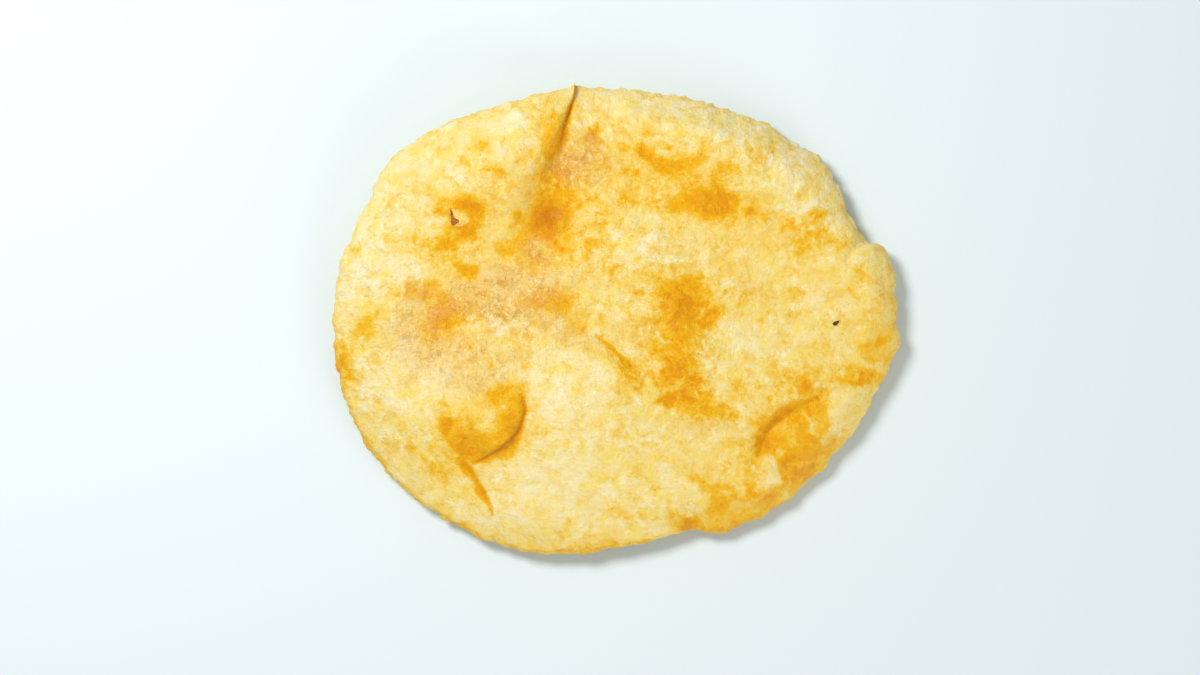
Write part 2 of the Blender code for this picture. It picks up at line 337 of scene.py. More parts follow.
@dataclass(frozen=True)
class BlisterCrop:
    """Small blisters that cover the skin, at most one in each cell of a loose net."""

    spacing: float
    radius: Point
    rise: float
    share: float
    seed: int
    lattice: int = 128

    def at(self, x: Array, y: Array) -> Array:
        """Height that the blisters add at each point.

        Args:
            x, y: Places on the bread.

        Returns:
            The heights.
        """
        draw = np.random.default_rng(self.seed).uniform(0.0, 1.0, (self.lattice, self.lattice, 4))
        column, row = np.floor(x / self.spacing).astype(int), np.floor(y / self.spacing).astype(int)
        height = np.zeros_like(x)
        for i in (-1, 0, 1):
            for j in (-1, 0, 1):
                lot = draw[(column + i) % self.lattice, (row + j) % self.lattice]
                dx = x - (column + i + lot[:, 0]) * self.spacing
                dy = y - (row + j + lot[:, 1]) * self.spacing
                radius = blend(self.radius, lot[:, 2])
                dome = np.maximum(1.0 - (dx * dx + dy * dy) / radius**2, 0.0)
                shown = lot[:, 3] < self.share
                height = np.maximum(height, np.where(shown, self.rise * radius * dome**1.5, 0.0))
        return height


@dataclass(frozen=True)
class Outline:
    """The bread's edge seen from above, clockwise from the tip of the pleat."""

    width: float = 0.220
    depth: float = 0.183
    points: tuple[Point, ...] = (
        (-0.0175, 0.0915), (-0.0130, 0.0900), (0.0075, 0.0890), (0.0345, 0.0840), (0.0485, 0.0795),
        (0.0595, 0.0750), (0.0665, 0.0695), (0.0735, 0.0660), (0.0795, 0.0620), (0.0840, 0.0555),
        (0.0890, 0.0435), (0.0955, 0.0320), (0.0980, 0.0295), (0.1025, 0.0285), (0.1060, 0.0250),
        (0.1080, 0.0180), (0.1090, -0.0005), (0.1100, -0.0100), (0.1035, -0.0245), (0.0965, -0.0385),
        (0.0855, -0.0525), (0.0810, -0.0585), (0.0750, -0.0625), (0.0710, -0.0670), (0.0575, -0.0770),
        (0.0500, -0.0795), (0.0420, -0.0830), (0.0365, -0.0835), (0.0315, -0.0825), (0.0260, -0.0830),
        (0.0095, -0.0875), (-0.0185, -0.0915), (-0.0380, -0.0895), (-0.0555, -0.0835),
        (-0.0720, -0.0745), (-0.0880, -0.0610), (-0.1005, -0.0430), (-0.1075, -0.0250),
        (-0.1100, -0.0035), (-0.1080, 0.0185), (-0.1000, 0.0370), (-0.0930, 0.0525),
        (-0.0890, 0.0595), (-0.0825, 0.0660), (-0.0650, 0.0760), (-0.0415, 0.0840),
        (-0.0240, 0.0882), (-0.0200, 0.0892),
    )
    wobble: Lumps = Lumps(0.0007, 0.0090, 31)
    wobble_inside: int = 8
    bumps: tuple[Lumps, ...] = (Lumps(0.00068, 0.0038, 32), Lumps(0.00040, 0.0018, 33))
    bumpiest_bearing: float = 50.0
    bumpiest_gain: float = 0.6
    bumpiest_part: int = 8
    bumps_inside: int = 24

    def radius(self, angle: Array) -> Array:
        """Distance from the middle to the smooth outline.

        Args:
            angle: Direction from the middle.

        Returns:
            The distances.
        """
        line = smooth_curve(self.points, 12, closed=True)
        low, high = line.min(axis=0), line.max(axis=0)
        line = (line - (low + high) / 2) * np.array([self.width, self.depth]) / (high - low)
        bearing = np.arctan2(line[:, 1], line[:, 0])
        order = np.argsort(bearing)
        return np.interp(angle, bearing[order], np.hypot(*line[order].T), period=2.0 * math.pi)

    def ragged_radius(self, angle: Array, share: Array) -> Array:
        """Distance to the outline with the small unevenness that the edge has.

        Args:
            angle: Direction from the middle.
            share: Share of the way out, so that the unevenness dies away inside.

        Returns:
            The distances.
        """
        x, y = np.cos(angle) * self.width / 2, np.sin(angle) * self.width / 2
        return self.radius(angle) + self.wobble.at(x, y) * share**self.wobble_inside

    def bumpy(self, skin: Array, angle: Array, share: Array) -> Array:
        """Pushes the points of a skin's edge out or in, so that small bumps cover it all the way up.

        Args:
            skin: The skin's points.
            angle: Each point's direction from the middle.
            share: Its share of the way out, so that the bumps die away inside.

        Returns:
            The moved points.
        """
        x, y, height = skin.T
        outwards = np.array([np.cos(angle), np.sin(angle)])
        towards = np.cos(angle - math.radians(self.bumpiest_bearing))
        livelier = 1.0 + self.bumpiest_gain * np.maximum(towards, 0.0) ** self.bumpiest_part
        push = livelier * share**self.bumps_inside
        push *= sum(lumps.at(x - outwards[0] * height, y - outwards[1] * height) for lumps in self.bumps)
        return np.column_stack([x + push * outwards[0], y + push * outwards[1], height])


@dataclass
class Skins:
    """Points of the top skin and of the underside, with what the colouring needs to know of them."""

    top: Array
    under: Array
    x: Array
    y: Array
    angle: Array
    inward: Array
    pits: Array
    curds: Array


@dataclass(frozen=True)
class BreadForm:
    """The form of the bread, as the solid has it, with finer blisters and wrinkles on its skins."""

    outline: Outline = Outline()
    rim_share: float = 0.05
    rim_lift: float = 0.0065
    rim_lift_swing: float = 0.0020
    rim_turn: float = 0.6
    rim_round: Point = (0.0024, 0.0036)
    puffiest_bearing: float = 55.0
    swell: float = 0.0085
    swell_run: Point = (0.0150, 0.0080)
    relief_start: float = 0.0070
    belly_run: float = 0.0360
    belly_run_swing: float = 0.0090
    belly_turn: float = 0.9
    least_thickness: float = 0.0045
    mounds: tuple[Mound, ...] = (
        Mound((-0.0430, 0.0650), 0.0050, (0.024, 0.016), 60),
        Mound((-0.0795, 0.0495), 0.0040, (0.024, 0.020), 40),
        Mound((-0.0930, 0.0150), 0.0030, (0.012, 0.024), 10),
        Mound((-0.0565, -0.0355), 0.0050, (0.017, 0.014), 30),
        Mound((-0.0800, -0.0360), 0.0035, (0.022, 0.018), -35),
        Mound((-0.0090, -0.0420), 0.0055, (0.034, 0.028), 0),
        Mound((0.0130, 0.0230), 0.0045, (0.015, 0.011), -20),
        Mound((0.0270, -0.0110), 0.0025, (0.007, 0.016), 10),
        Mound((0.0650, 0.0080), -0.0025, (0.022, 0.024), 0),
        Mound((-0.0060, 0.0110), -0.0015, (0.018, 0.014), 0),
        Mound((0.0765, -0.0485), 0.0042, (0.017, 0.012), 45),
        Mound((0.0930, -0.0320), 0.0032, (0.009, 0.014), -35),
        Mound((0.0990, 0.0130), 0.0035, (0.009, 0.016), 0),
        Mound((0.0325, -0.0700), 0.0030, (0.022, 0.009), 10),
        Mound((-0.0370, -0.0760), 0.0020, (0.022, 0.009), -10),
        Mound((0.0570, -0.0690), 0.0030, (0.009, 0.007), 30),
        Mound((0.0590, -0.0580), 0.0018, (0.0032, 0.0055), 20),
        Mound((-0.0635, 0.0395), 0.0012, (0.006, 0.006), 0),
        Mound((-0.0630, 0.0390), -0.0018, (0.0010, 0.0018), 20),
        Mound((0.0915, 0.0195), 0.0010, (0.0022, 0.0036), -15),
        Mound((0.0125, 0.0255), 0.0008, (0.0028, 0.0022), 20),
    )
    furrows: tuple[Furrow, ...] = (
        Furrow(
            ((-0.0095, 0.0610), (-0.0185, 0.0495), (-0.0275, 0.0360), (-0.0370, 0.0185),
             (-0.0525, 0.0070), (-0.0720, -0.0025), (-0.0870, -0.0085)),
            0.0030, 0.0130,
        ),
        Furrow(
            ((-0.0025, 0.0795), (0.0190, 0.0760), (0.0420, 0.0690), (0.0615, 0.0590), (0.0755, 0.0455)),
            -0.0030, 0.0090,
        ),
        Furrow(
            ((0.0545, -0.0530), (0.0565, -0.0470), (0.0600, -0.0420), (0.0650, -0.0375), (0.0710, -0.0345),
             (0.0780, -0.0310), (0.0855, -0.0255), (0.0940, -0.0220)),
            0.0031, 0.0034,
        ),
        Furrow(
            ((-0.0595, -0.0555), (-0.0565, -0.0600), (-0.0535, -0.0655), (-0.0505, -0.0700),
             (-0.0480, -0.0745)),
            0.0018, 0.0018,
        ),
        Furrow(
            ((0.0980, 0.0305), (0.0940, 0.0280), (0.0905, 0.0255), (0.0890, 0.0215), (0.0905, 0.0175),
             (0.0930, 0.0145)),
            0.0015, 0.0016,
        ),
    )
    folds: tuple[Fold, ...] = (
        Fold(
            ((-0.0174, 0.0940), (-0.0176, 0.0865), (-0.0198, 0.0800), (-0.0218, 0.0740),
             (-0.0230, 0.0685), (-0.0262, 0.0620), (-0.0303, 0.0535), (-0.0340, 0.0440),
             (-0.0385, 0.0320), (-0.0430, 0.0220)),
            height=0.0046, band=(0.0013, 0.0125), run_back=0.032, overhang=0.0022,
            fade_in=0.0, fade_out=0.50, through_rim=True,
        ),
        Fold(
            ((-0.0392, -0.0205), (-0.0372, -0.0275), (-0.0371, -0.0350), (-0.0392, -0.0415),
             (-0.0425, -0.0462), (-0.0476, -0.0500), (-0.0543, -0.0543)),
            height=0.0040, band=(0.0034, 0.0020), run_back=0.015, overhang=0.0012,
            fade_in=0.45, fade_out=0.25,
        ),
        Fold(
            ((-0.0170, 0.0000), (-0.0100, -0.0075), (-0.0030, -0.0130), (0.0035, -0.0185),
             (0.0110, -0.0235), (0.0200, -0.0285)),
            height=0.0024, band=(0.0040, 0.0030), run_back=0.026, overhang=0.0,
            fade_in=0.40, fade_out=0.40,
        ),
        Fold(
            ((0.0810, 0.0305), (0.0730, 0.0370), (0.0635, 0.0425), (0.0515, 0.0470), (0.0400, 0.0495),
             (0.0285, 0.0515), (0.0180, 0.0585), (0.0095, 0.0645), (0.0015, 0.0670), (-0.0100, 0.0680)),
            height=0.0040, band=(0.0065, 0.0055), run_back=0.040, overhang=0.0,
            fade_in=0.30, fade_out=0.30,
        ),
    )
    blisters: ScatteredBlisters = ScatteredBlisters()
    top_lumps: tuple[Lumps, ...] = (Lumps(0.0009, 0.030, 11), Lumps(0.0005, 0.0115, 12))
    under_lumps: tuple[Lumps, ...] = (Lumps(0.0014, 0.026, 21), Lumps(0.0006, 0.0110, 22))
    under_hollows: Lumps = Lumps(0.0034, 0.0240, 24)
    hollow_start: float = 0.0007
    flat_middle: float = 0.0260
    fine_crops: tuple[BlisterCrop, ...] = (
        BlisterCrop(0.0078, (0.0026, 0.0046), 0.12, 0.55, 48),
        BlisterCrop(0.0044, (0.0014, 0.0027), 0.17, 0.60, 41),
        BlisterCrop(0.0024, (0.0008, 0.0014), 0.22, 0.60, 42),
    )
    puckers: tuple[Lumps, ...] = (Lumps(0.00060, 0.0070, 43), Lumps(0.00036, 0.0033, 44))
    curdy: tuple[Mound, ...] = (
        Mound((-0.0960, 0.0290), 0.80, (0.0160, 0.0300), 0),
        Mound((-0.0600, 0.0640), 0.55, (0.0330, 0.0160), 28),
        Mound((-0.0130, 0.0600), 0.85, (0.0130, 0.0130), 0),
        Mound((0.0250, -0.0120), 0.80, (0.0140, 0.0220), 0),
        Mound((0.0200, 0.0170), 0.60, (0.0160, 0.0120), 0),
        Mound((0.0640, 0.0560), 0.55, (0.0260, 0.0130), -38),
        Mound((-0.0480, 0.0060), 0.40, (0.0300, 0.0130), 0),
    )
    grain: Lumps = Lumps(0.00010, 0.0015, 45)
    sway: tuple[Lumps, ...] = (Lumps(0.0022, 0.0120, 46), Lumps(0.0022, 0.0120, 47))
    fine_start: float = 0.0022
    curd_gain: float = 0.8
    ridge_level: float = 0.4
    pit_below: float = 0.00030
    under_pit: float = 0.0004
    under_fine: float = 0.45

    def spread(self, grid: Array) -> tuple[Array, Array, Array]:
        """Spreads a square grid over the outline.

        Args:
            grid: Points of a square from -1 to 1, one row each.

        Returns:
            Each point's bearing, its share of the way out, and the outline's distance there.
        """
        u, v = grid[:, 0], grid[:, 1]
        ring = np.maximum(np.abs(u), np.abs(v))
        wide = np.abs(u) >= np.abs(v)
        safe_u, safe_v = np.where(u == 0.0, 1.0, u), np.where(v == 0.0, 1.0, v)
        angle = np.where(
            wide,
            math.pi / 4 * v / safe_u + np.where(u < 0.0, math.pi, 0.0),
            math.pi / 2 * np.where(v < 0.0, -1.0, 1.0) - math.pi / 4 * u / safe_v,
        )
        from_rim = 1.0 - ring
        rim = self.rim_share
        from_rim = np.where(from_rim < rim, from_rim**2 / (2 * rim), from_rim - rim / 2)
        share = 1.0 - from_rim / (1.0 - rim / 2)
        return angle, share, self.outline.ragged_radius(angle, share)

    def top_relief(self, x: Array, y: Array) -> Array:
        """Height of every mound, furrow, blister and lump that the solid's top has.

        Args:
            x, y: Places on the bread.

        Returns:
            The heights.
        """
        height = self.blisters.at(x, y)
        for piece in (*self.mounds, *self.furrows, *self.top_lumps):
            height += piece.at(x, y)
        return height

    def curds(self, x: Array, y: Array) -> Array:
        """How much livelier than elsewhere the small relief is, from 0 to about 1."""
        return sum(part.at(x, y) for part in self.curdy)

    def fine_relief(self, x: Array, y: Array) -> tuple[Array, Array]:
        """Small blisters, puckers and grain of the skin.

        Args:
            x, y: Places on the bread.

        Returns:
            Their height, and how deep each point lies between the blisters, from 0 to 1.
        """
        sx, sy = x + self.sway[0].at(x, y), y + self.sway[1].at(x, y)
        domes = np.zeros_like(x)
        for crop in self.fine_crops:
            domes = np.maximum(domes, crop.at(sx, sy))
        ridged = sum(lumps.height * self.ridge_level - np.abs(lumps.at(sx, sy)) for lumps in self.puckers)
        height = (domes + ridged + self.grain.at(x, y)) * (1.0 + self.curd_gain * self.curds(x, y))
        return height, 1.0 - ease(domes / self.pit_below)

    def folds_together(self, x: Array, y: Array, inside: Array) -> tuple[Array, Array]:
        """Lift and sideways shift of the folds inside the rim, and of those through it.

        Args:
            x, y: Places on the bread.
            inside: Share of the relief that each point takes, which dies away at the rim.

        Returns:
            Two sets of three rows: lift, shift along X and shift along Y.
        """
        within, through = np.zeros((3, len(x))), np.zeros((3, len(x)))
        for fold in self.folds:
            if fold.through_rim:
                through += fold.shape(x, y)
            else:
                within += fold.shape(x, y) * inside
        return within, through

    def skins(self, grid: Array) -> Skins:
        """Shapes both skins of the bread over a square grid.

        Args:
            grid: Points of a square from -1 to 1, one row each.

        Returns:
            The points of both skins and what the colouring needs.
        """
        angle, share, radius = self.spread(grid)
        x, y = radius * share * np.cos(angle), radius * share * np.sin(angle)
        inward = (1.0 - share) * radius
        full = 0.5 + 0.5 * np.cos(angle - math.radians(self.puffiest_bearing))
        rim_round, swell_run = blend(self.rim_round, full), blend(self.swell_run, full)
        swing = np.sin(2.0 * angle + self.belly_turn) * np.cos(3.0 * angle)
        belly = ease(inward / (self.belly_run + self.belly_run_swing * swing))
        round_over = np.sqrt(1.0 - (1.0 - np.minimum(inward / rim_round, 1.0)) ** 2)
        round_over *= blend((rim_round, self.rim_round[1]), belly)
        rim_height = self.rim_lift + self.rim_lift_swing * np.sin(3.0 * angle + self.rim_turn) * (1.0 - belly)
        inside = 1.0 - np.exp(-((inward / self.relief_start) ** 2))
        near_edge = ease(inward / self.fine_start)
        within, through = self.folds_together(x, y, inside)
        fine, pits = self.fine_relief(x, y)

        pressed_up = sum(np.abs(lumps.at(x, y)) for lumps in self.under_lumps) * inside
        under = (rim_height - round_over + through[0] + pressed_up) * (1.0 - belly)
        hollows = np.maximum(self.under_hollows.at(x, y) - self.hollow_start, 0.0)
        under += hollows * inside * ease(np.hypot(x, y) / self.flat_middle - 1.0)
        under += np.maximum(self.under_pit - self.under_fine * fine, 0.0) * near_edge

        top = rim_height + round_over + self.swell * (1.0 - np.exp(-inward / swell_run))
        top += self.top_relief(x, y) * inside + within[0] + through[0]
        top += fine * near_edge
        top = np.where(inward > rim_round, np.maximum(top, under + self.least_thickness), top)

        top_skin = np.column_stack([x + within[1] + through[1], y + within[2] + through[2], top])
        rim_shift = through[1:] * (1.0 - belly)
        under_skin = np.column_stack([x + rim_shift[0], y + rim_shift[1], under])
        top_skin, under_skin = [self.outline.bumpy(skin, angle, share) for skin in (top_skin, under_skin)]
        return Skins(top_skin, under_skin, x, y, angle, inward, pits, self.curds(x, y))


@dataclass(frozen=True)
class Patch:
    """A soft-edged patch of colour on a skin."""

    centre: Point
    reach: Point
    strength: float
    turn: float = 0.0
    falloff: float = 0.75

    def at(self, x: Array, y: Array) -> Array:
        """Strength of the patch at each point."""
        return self.strength * np.exp(-self.falloff * oval(self.centre, self.reach, self.turn, x, y))


def patches(*rows: tuple[float, ...]) -> tuple[Patch, ...]:
    """Makes patches from short rows.

    Args:
        rows: Each patch's centre and reach in millimetres, its strength, and its turn where it has one.

    Returns:
        The patches.
    """
    made = []
    for x, y, along, across, strength, *turn in rows:
        made.append(Patch((x * MM, y * MM), (along * MM, across * MM), strength, *turn))
    return tuple(made)


@dataclass(frozen=True)
class Streak:
    """A streak of colour along a curve, with its own reach to either side and at each part of its run."""

    curve: tuple[Point, ...]
    left: tuple[float, ...]
    right: tuple[float, ...]
    strength: float
    crispness: float = 2.0

    def at(self, x: Array, y: Array) -> Array:
        """Strength of the streak at each point.

        Args:
            x, y: Places on the bread.

        Returns:
            The strengths.
        """
        by = place_by(self.curve, x, y, 3.0 * max(*self.left, *self.right))
        left = np.interp(by.share, np.linspace(0.0, 1.0, len(self.left)), self.left)
        right = np.interp(by.share, np.linspace(0.0, 1.0, len(self.right)), self.right)
        reach = np.where(by.left > 0.0, left, right)
        away = np.hypot(by.left / reach, by.past / np.sqrt(left * right))
        strength = np.zeros_like(x)
        strength[by.near] = self.strength * np.exp(-(away**self.crispness))
        return strength


# Painted light: the small lit wedge under the right furrow, kept pale.
LIT_WEDGE = Streak(
    ((0.0597, -0.0535), (0.0612, -0.0568), (0.0632, -0.0620)),
    left=(0.0005, 0.0005), right=(0.0020, 0.0052, 0.0076), strength=1.00, crispness=1.6,
)


class Shade(Enum):
    """The kinds of colour on the skin, each held as a number at every point: what the frying gives it, painted
    shade in its folds, hollows and pits and under its lip, and painted light on a few lit slopes.
    """

    # Frying colour, and painted shade along the folds and under the lip.
    BROWNED_AND_SHADED = "browned_and_shaded"
    # Pale skin, and painted light on a few lit slopes.
    CREAM_AND_LIT = "cream_and_lit"
    # Dusting, and painted shade in the hollows and the valley.
    DUST_AND_SHADE = "dust_and_shade"
    GOLDEN_EDGE = "golden_edge"
    GLAZED = "glazed"
    SMOOTH = "smooth"
    # Painted shade between the small blisters.
    PIT_SHADE = "pits"
    # Painted shade in the folds and furrows.
    CREASE = "crease_shade"


@dataclass(frozen=True)
class BrowningAndShading:
    """Where the frying has coloured the skins, and where shade and light are painted on them.

    Small brown patches and the wide pale ones round them, a few of them painted shade; streaks of brown and of
    painted shade in the folds, the furrows and under the lip; crisp painted shade in the folds; smooth places
    that stay even; unbrowned places that stay pale, some of them painted light; pale areas, some of them
    painted light on lit slopes; areas of dusting that also carry painted shade in the hollows; glazed areas;
    and a golden edge.
    """

    # Brown patches of the frying; a few are painted shade: the lip's shadow, the pleat's foot and the middle
    # hump's flank.
    browned_and_shaded: tuple[Patch, ...] = patches(
        # The pleat and its foot; the foot's deep orange is partly painted shade in its hollow.
        (-25.2, 39.3, 6.6, 4.2, 1.40, 25), (-7.5, 37.5, 5.0, 3.5, 0.18), (-21.5, 48.0, 4.0, 5.0, 0.28),
        (-34.5, 26.5, 4.0, 6.0, 0.45), (-38.4, 38.4, 1.2, 3.4, 0.70, -20), (-37.2, 59.8, 2.4, 1.8, 0.45),
        (-25.0, 32.5, 3.6, 4.2, 0.38), (-17.8, 28.4, 2.6, 5.0, 0.45), (-27.5, 47.0, 2.8, 5.0, 0.40, -15),
        (-33.2, 52.0, 3.6, 11.0, 0.26, -22), (-8.0, 34.5, 3.4, 3.6, 0.34), (-34.5, 81.5, 4.0, 2.5, 0.28, 10),
        (-27.5, 73.0, 3.5, 11.5, 0.30),
        # The torn blister and the upper left.
        (-43.2, 26.5, 3.6, 3.4, 0.50), (-58.2, 40.0, 5.2, 5.6, 0.85), (-68.2, 42.0, 3.8, 3.0, 0.52),
        (-57.2, 42.0, 4.8, 4.0, 0.50), (-46.7, 39.9, 2.0, 1.5, 0.28), (-71.0, 50.3, 3.0, 2.0, 0.28),
        (-59.0, 33.0, 5.0, 2.6, 0.60, 15), (-65.6, 28.5, 6.6, 2.7, 0.85, 42), (-57.5, 18.2, 4.0, 3.2, 0.72),
        (-50.0, 56.5, 5.5, 2.5, 0.35, -10), (-43.0, 54.0, 3.0, 2.0, 0.35, -20), (-50.5, 65.5, 4.5, 4.5, 0.52),
        (-68.0, 64.0, 3.0, 2.5, 0.26),
        # Between the pleat and the crescent.
        (26.2, 57.0, 4.0, 3.2, 0.40), (12.8, 70.6, 3.0, 2.6, 0.40), (-6.2, 73.5, 2.8, 2.6, 0.40),
        (6.0, 44.0, 3.2, 3.2, 0.36), (23.5, 44.5, 7.0, 3.2, 0.38), (11.0, 63.0, 3.5, 2.0, 0.55, -30),
        (18.0, 58.5, 5.0, 2.5, 0.50, -10), (29.0, 61.0, 3.4, 2.4, 0.55), (36.5, 64.5, 3.0, 2.5, 0.30),
        (20.5, 66.0, 1.0, 2.0, 0.40), (4.0, 66.0, 2.5, 1.5, 0.38), (5.5, 56.5, 5.0, 3.0, 0.22),
        (-10.0, 70.5, 2.5, 1.5, 0.35),
        # The crescent's inner edge and end.
        (35.0, 40.0, 6.0, 2.6, 0.35), (34.0, 45.2, 8.5, 3.6, 0.80), (52.5, 38.8, 10.0, 3.0, 0.46, -8),
        (69.0, 36.2, 4.6, 2.8, 0.40, -30), (42.1, 55.6, 4.0, 3.6, 0.50), (69.0, 26.5, 8.5, 3.6, 0.42, -15),
        (77.0, 32.0, 3.6, 2.6, 0.42, -30), (78.5, 40.5, 3.2, 2.8, 0.42),
        # The hump and the middle; the brown middle at 26.4, 6.0 is partly painted shade on the hump's flank that
        # faces away from the light.
        (15.0, 25.5, 4.2, 3.0, 0.38), (42.1, 11.0, 3.2, 2.6, 0.34), (17.0, 19.5, 6.0, 3.6, 0.16, 20),
        (18.0, 11.8, 4.4, 3.0, 0.32), (0.0, 16.0, 4.0, 5.0, 0.40), (26.4, 6.0, 6.4, 8.6, 1.00),
        (31.0, 0.4, 7.0, 3.0, 0.70),
        # Below the middle.
        (15.0, -12.2, 3.4, 3.0, 0.40), (26.0, -10.5, 6.0, 5.5, 0.42), (23.2, -20.5, 4.8, 4.2, 0.50),
        (28.5, -31.2, 6.6, 3.0, 0.48), (34.0, -35.0, 7.0, 2.6, 0.42), (47.5, -28.0, 5.0, 4.2, 0.38),
        (20.5, -32.0, 3.5, 2.0, 0.60), (5.5, -20.8, 6.0, 2.8, 0.50, -28), (40.0, -38.0, 8.0, 5.0, 0.26),
        # The valley and the diagonal.
        (-33.0, 19.0, 4.0, 2.8, 0.44), (-30.5, 5.8, 6.6, 3.2, 0.62), (-14.0, -3.0, 3.5, 4.0, 0.38),
        (-2.0, -11.0, 5.5, 3.0, 0.40, -40), (-27.5, 7.0, 5.5, 3.5, 0.30), (-19.5, 2.5, 4.5, 3.0, 0.28),
        (-18.0, -18.5, 2.0, 1.5, 0.40), (-33.2, -19.9, 2.6, 2.0, 0.40),
        # The left hollow and the left rim.
        (-70.0, 12.0, 3.5, 3.0, 0.40), (-65.5, 0.0, 6.0, 4.8, 0.62), (-68.5, 7.0, 6.0, 2.5, 0.42),
        (-72.0, -7.5, 4.0, 5.5, 0.32), (-83.5, 10.0, 5.5, 3.0, 0.25), (-94.2, 1.4, 3.5, 4.0, 0.42),
        (-105.2, -17.0, 3.8, 8.5, 0.55), (-98.8, -4.4, 4.8, 4.0, 0.70), (-55.5, -11.0, 1.5, 1.5, 0.75),
        # The lower left puff and rim; the patch at -42.0, -52.0 is the lip's painted shadow.
        (-79.2, -50.5, 4.8, 3.0, 0.50, -40), (-53.0, -44.0, 5.0, 3.4, 0.55, -20),
        (-61.5, -45.0, 6.2, 4.0, 0.80, -30), (-52.0, -50.0, 7.2, 2.6, 0.60, 20), (-44.6, -28.8, 3.8, 3.4, 0.75),
        (-43.6, -38.8, 1.8, 3.6, 0.55, -15), (-42.0, -52.0, 3.6, 2.6, 0.70, 25), (-38.5, -27.0, 3.0, 4.5, 0.36),
        (-48.6, -19.1, 1.0, 1.7, 0.75), (-68.5, -58.5, 5.0, 4.0, 0.55, -35),
        # The dome.
        (-26.2, -23.7, 1.2, 1.2, 0.35), (-19.5, -48.0, 2.2, 1.8, 0.40), (-8.0, -41.1, 2.4, 1.8, 0.40),
        (-4.0, -61.5, 3.5, 2.5, 0.32), (-1.0, -71.0, 2.5, 3.0, 0.34),
        # The bottom and its notch.
        (32.4, -64.0, 7.0, 1.8, 0.42, -28), (44.0, -66.0, 6.0, 1.6, 0.36, -25), (28.5, -79.0, 6.5, 3.0, 0.60, 10),
        (38.5, -72.0, 4.5, 3.5, 0.40), (9.5, -64.5, 2.5, 2.0, 0.40, 20),
        # The right furrow and the glazed puffs.
        (56.0, -40.5, 5.0, 6.0, 0.34), (61.4, -23.5, 3.6, 2.6, 0.36), (70.0, -48.5, 8.5, 7.5, 0.50),
        (67.0, -58.5, 5.0, 5.0, 0.40), (83.5, -44.0, 4.5, 2.5, 0.40, -30), (57.5, -68.5, 6.0, 5.0, 0.14),
        (71.5, -25.0, 5.0, 3.6, 0.58), (60.0, -49.0, 4.0, 4.0, 0.50), (74.5, -35.5, 6.4, 3.4, 0.62, 20),
        (42.0, -49.0, 8.5, 3.4, 0.42),
        # The right flat and rim.
        (100.0, -15.0, 6.0, 3.0, 0.40), (88.4, -4.0, 3.4, 4.6, 0.34), (71.4, 7.1, 4.0, 3.0, 0.12),
        (86.2, -23.7, 4.4, 2.6, 0.42), (87.0, 29.0, 4.0, 4.0, 0.42), (97.5, -10.5, 5.5, 2.5, 0.38),
        (103.5, -8.5, 3.0, 2.5, 0.34), (102.0, 5.0, 4.0, 3.0, 0.22), (92.5, 16.5, 3.4, 4.5, 0.46),
        (95.0, -22.5, 7.0, 3.2, 0.60, 15),
    )
    halos: tuple[Patch, ...] = patches(
        # The pleat and its foot.
        (-23.5, 61.2, 9.0, 29.0, 0.36), (-10.0, 60.0, 12.0, 11.0, 0.34), (-27.4, 36.1, 11.5, 11.5, 0.30),
        # The torn blister and the upper left.
        (-59.0, 33.0, 13.0, 11.0, 0.30),
        # Between the pleat and the crescent.
        (30.0, 47.0, 28.0, 8.5, 0.36), (18.0, 61.0, 20.0, 6.0, 0.26, -15),
        # The crescent's inner edge and end.
        (80.0, 33.0, 11.0, 8.0, 0.25, -30),
        # The hump and the middle.
        (24.7, 6.0, 20.0, 18.0, 0.30),
        # Below the middle.
        (24.7, -21.5, 13.5, 19.0, 0.34),
        # The valley and the diagonal.
        (-24.0, 7.1, 12.0, 5.0, 0.50),
        # The left hollow and the left rim.
        (-65.0, 0.0, 16.0, 12.0, 0.25),
        # The lower left puff and rim.
        (-47.0, -41.0, 16.0, 13.0, 0.40), (-64.0, -56.0, 15.0, 6.0, 0.15, -35), (-73.0, -34.0, 8.0, 6.0, 0.22),
        # The bottom and its notch.
        (40.1, -70.1, 17.4, 9.7, 0.28),
        # The right furrow and the glazed puffs.
        (73.5, -45.5, 16.0, 15.0, 0.42), (62.0, -64.0, 16.0, 10.0, 0.22, 40),
        # The right flat and rim.
        (103.8, 0.0, 7.0, 15.0, 0.16), (72.0, -19.0, 16.0, 7.0, 0.22, 20),
    )
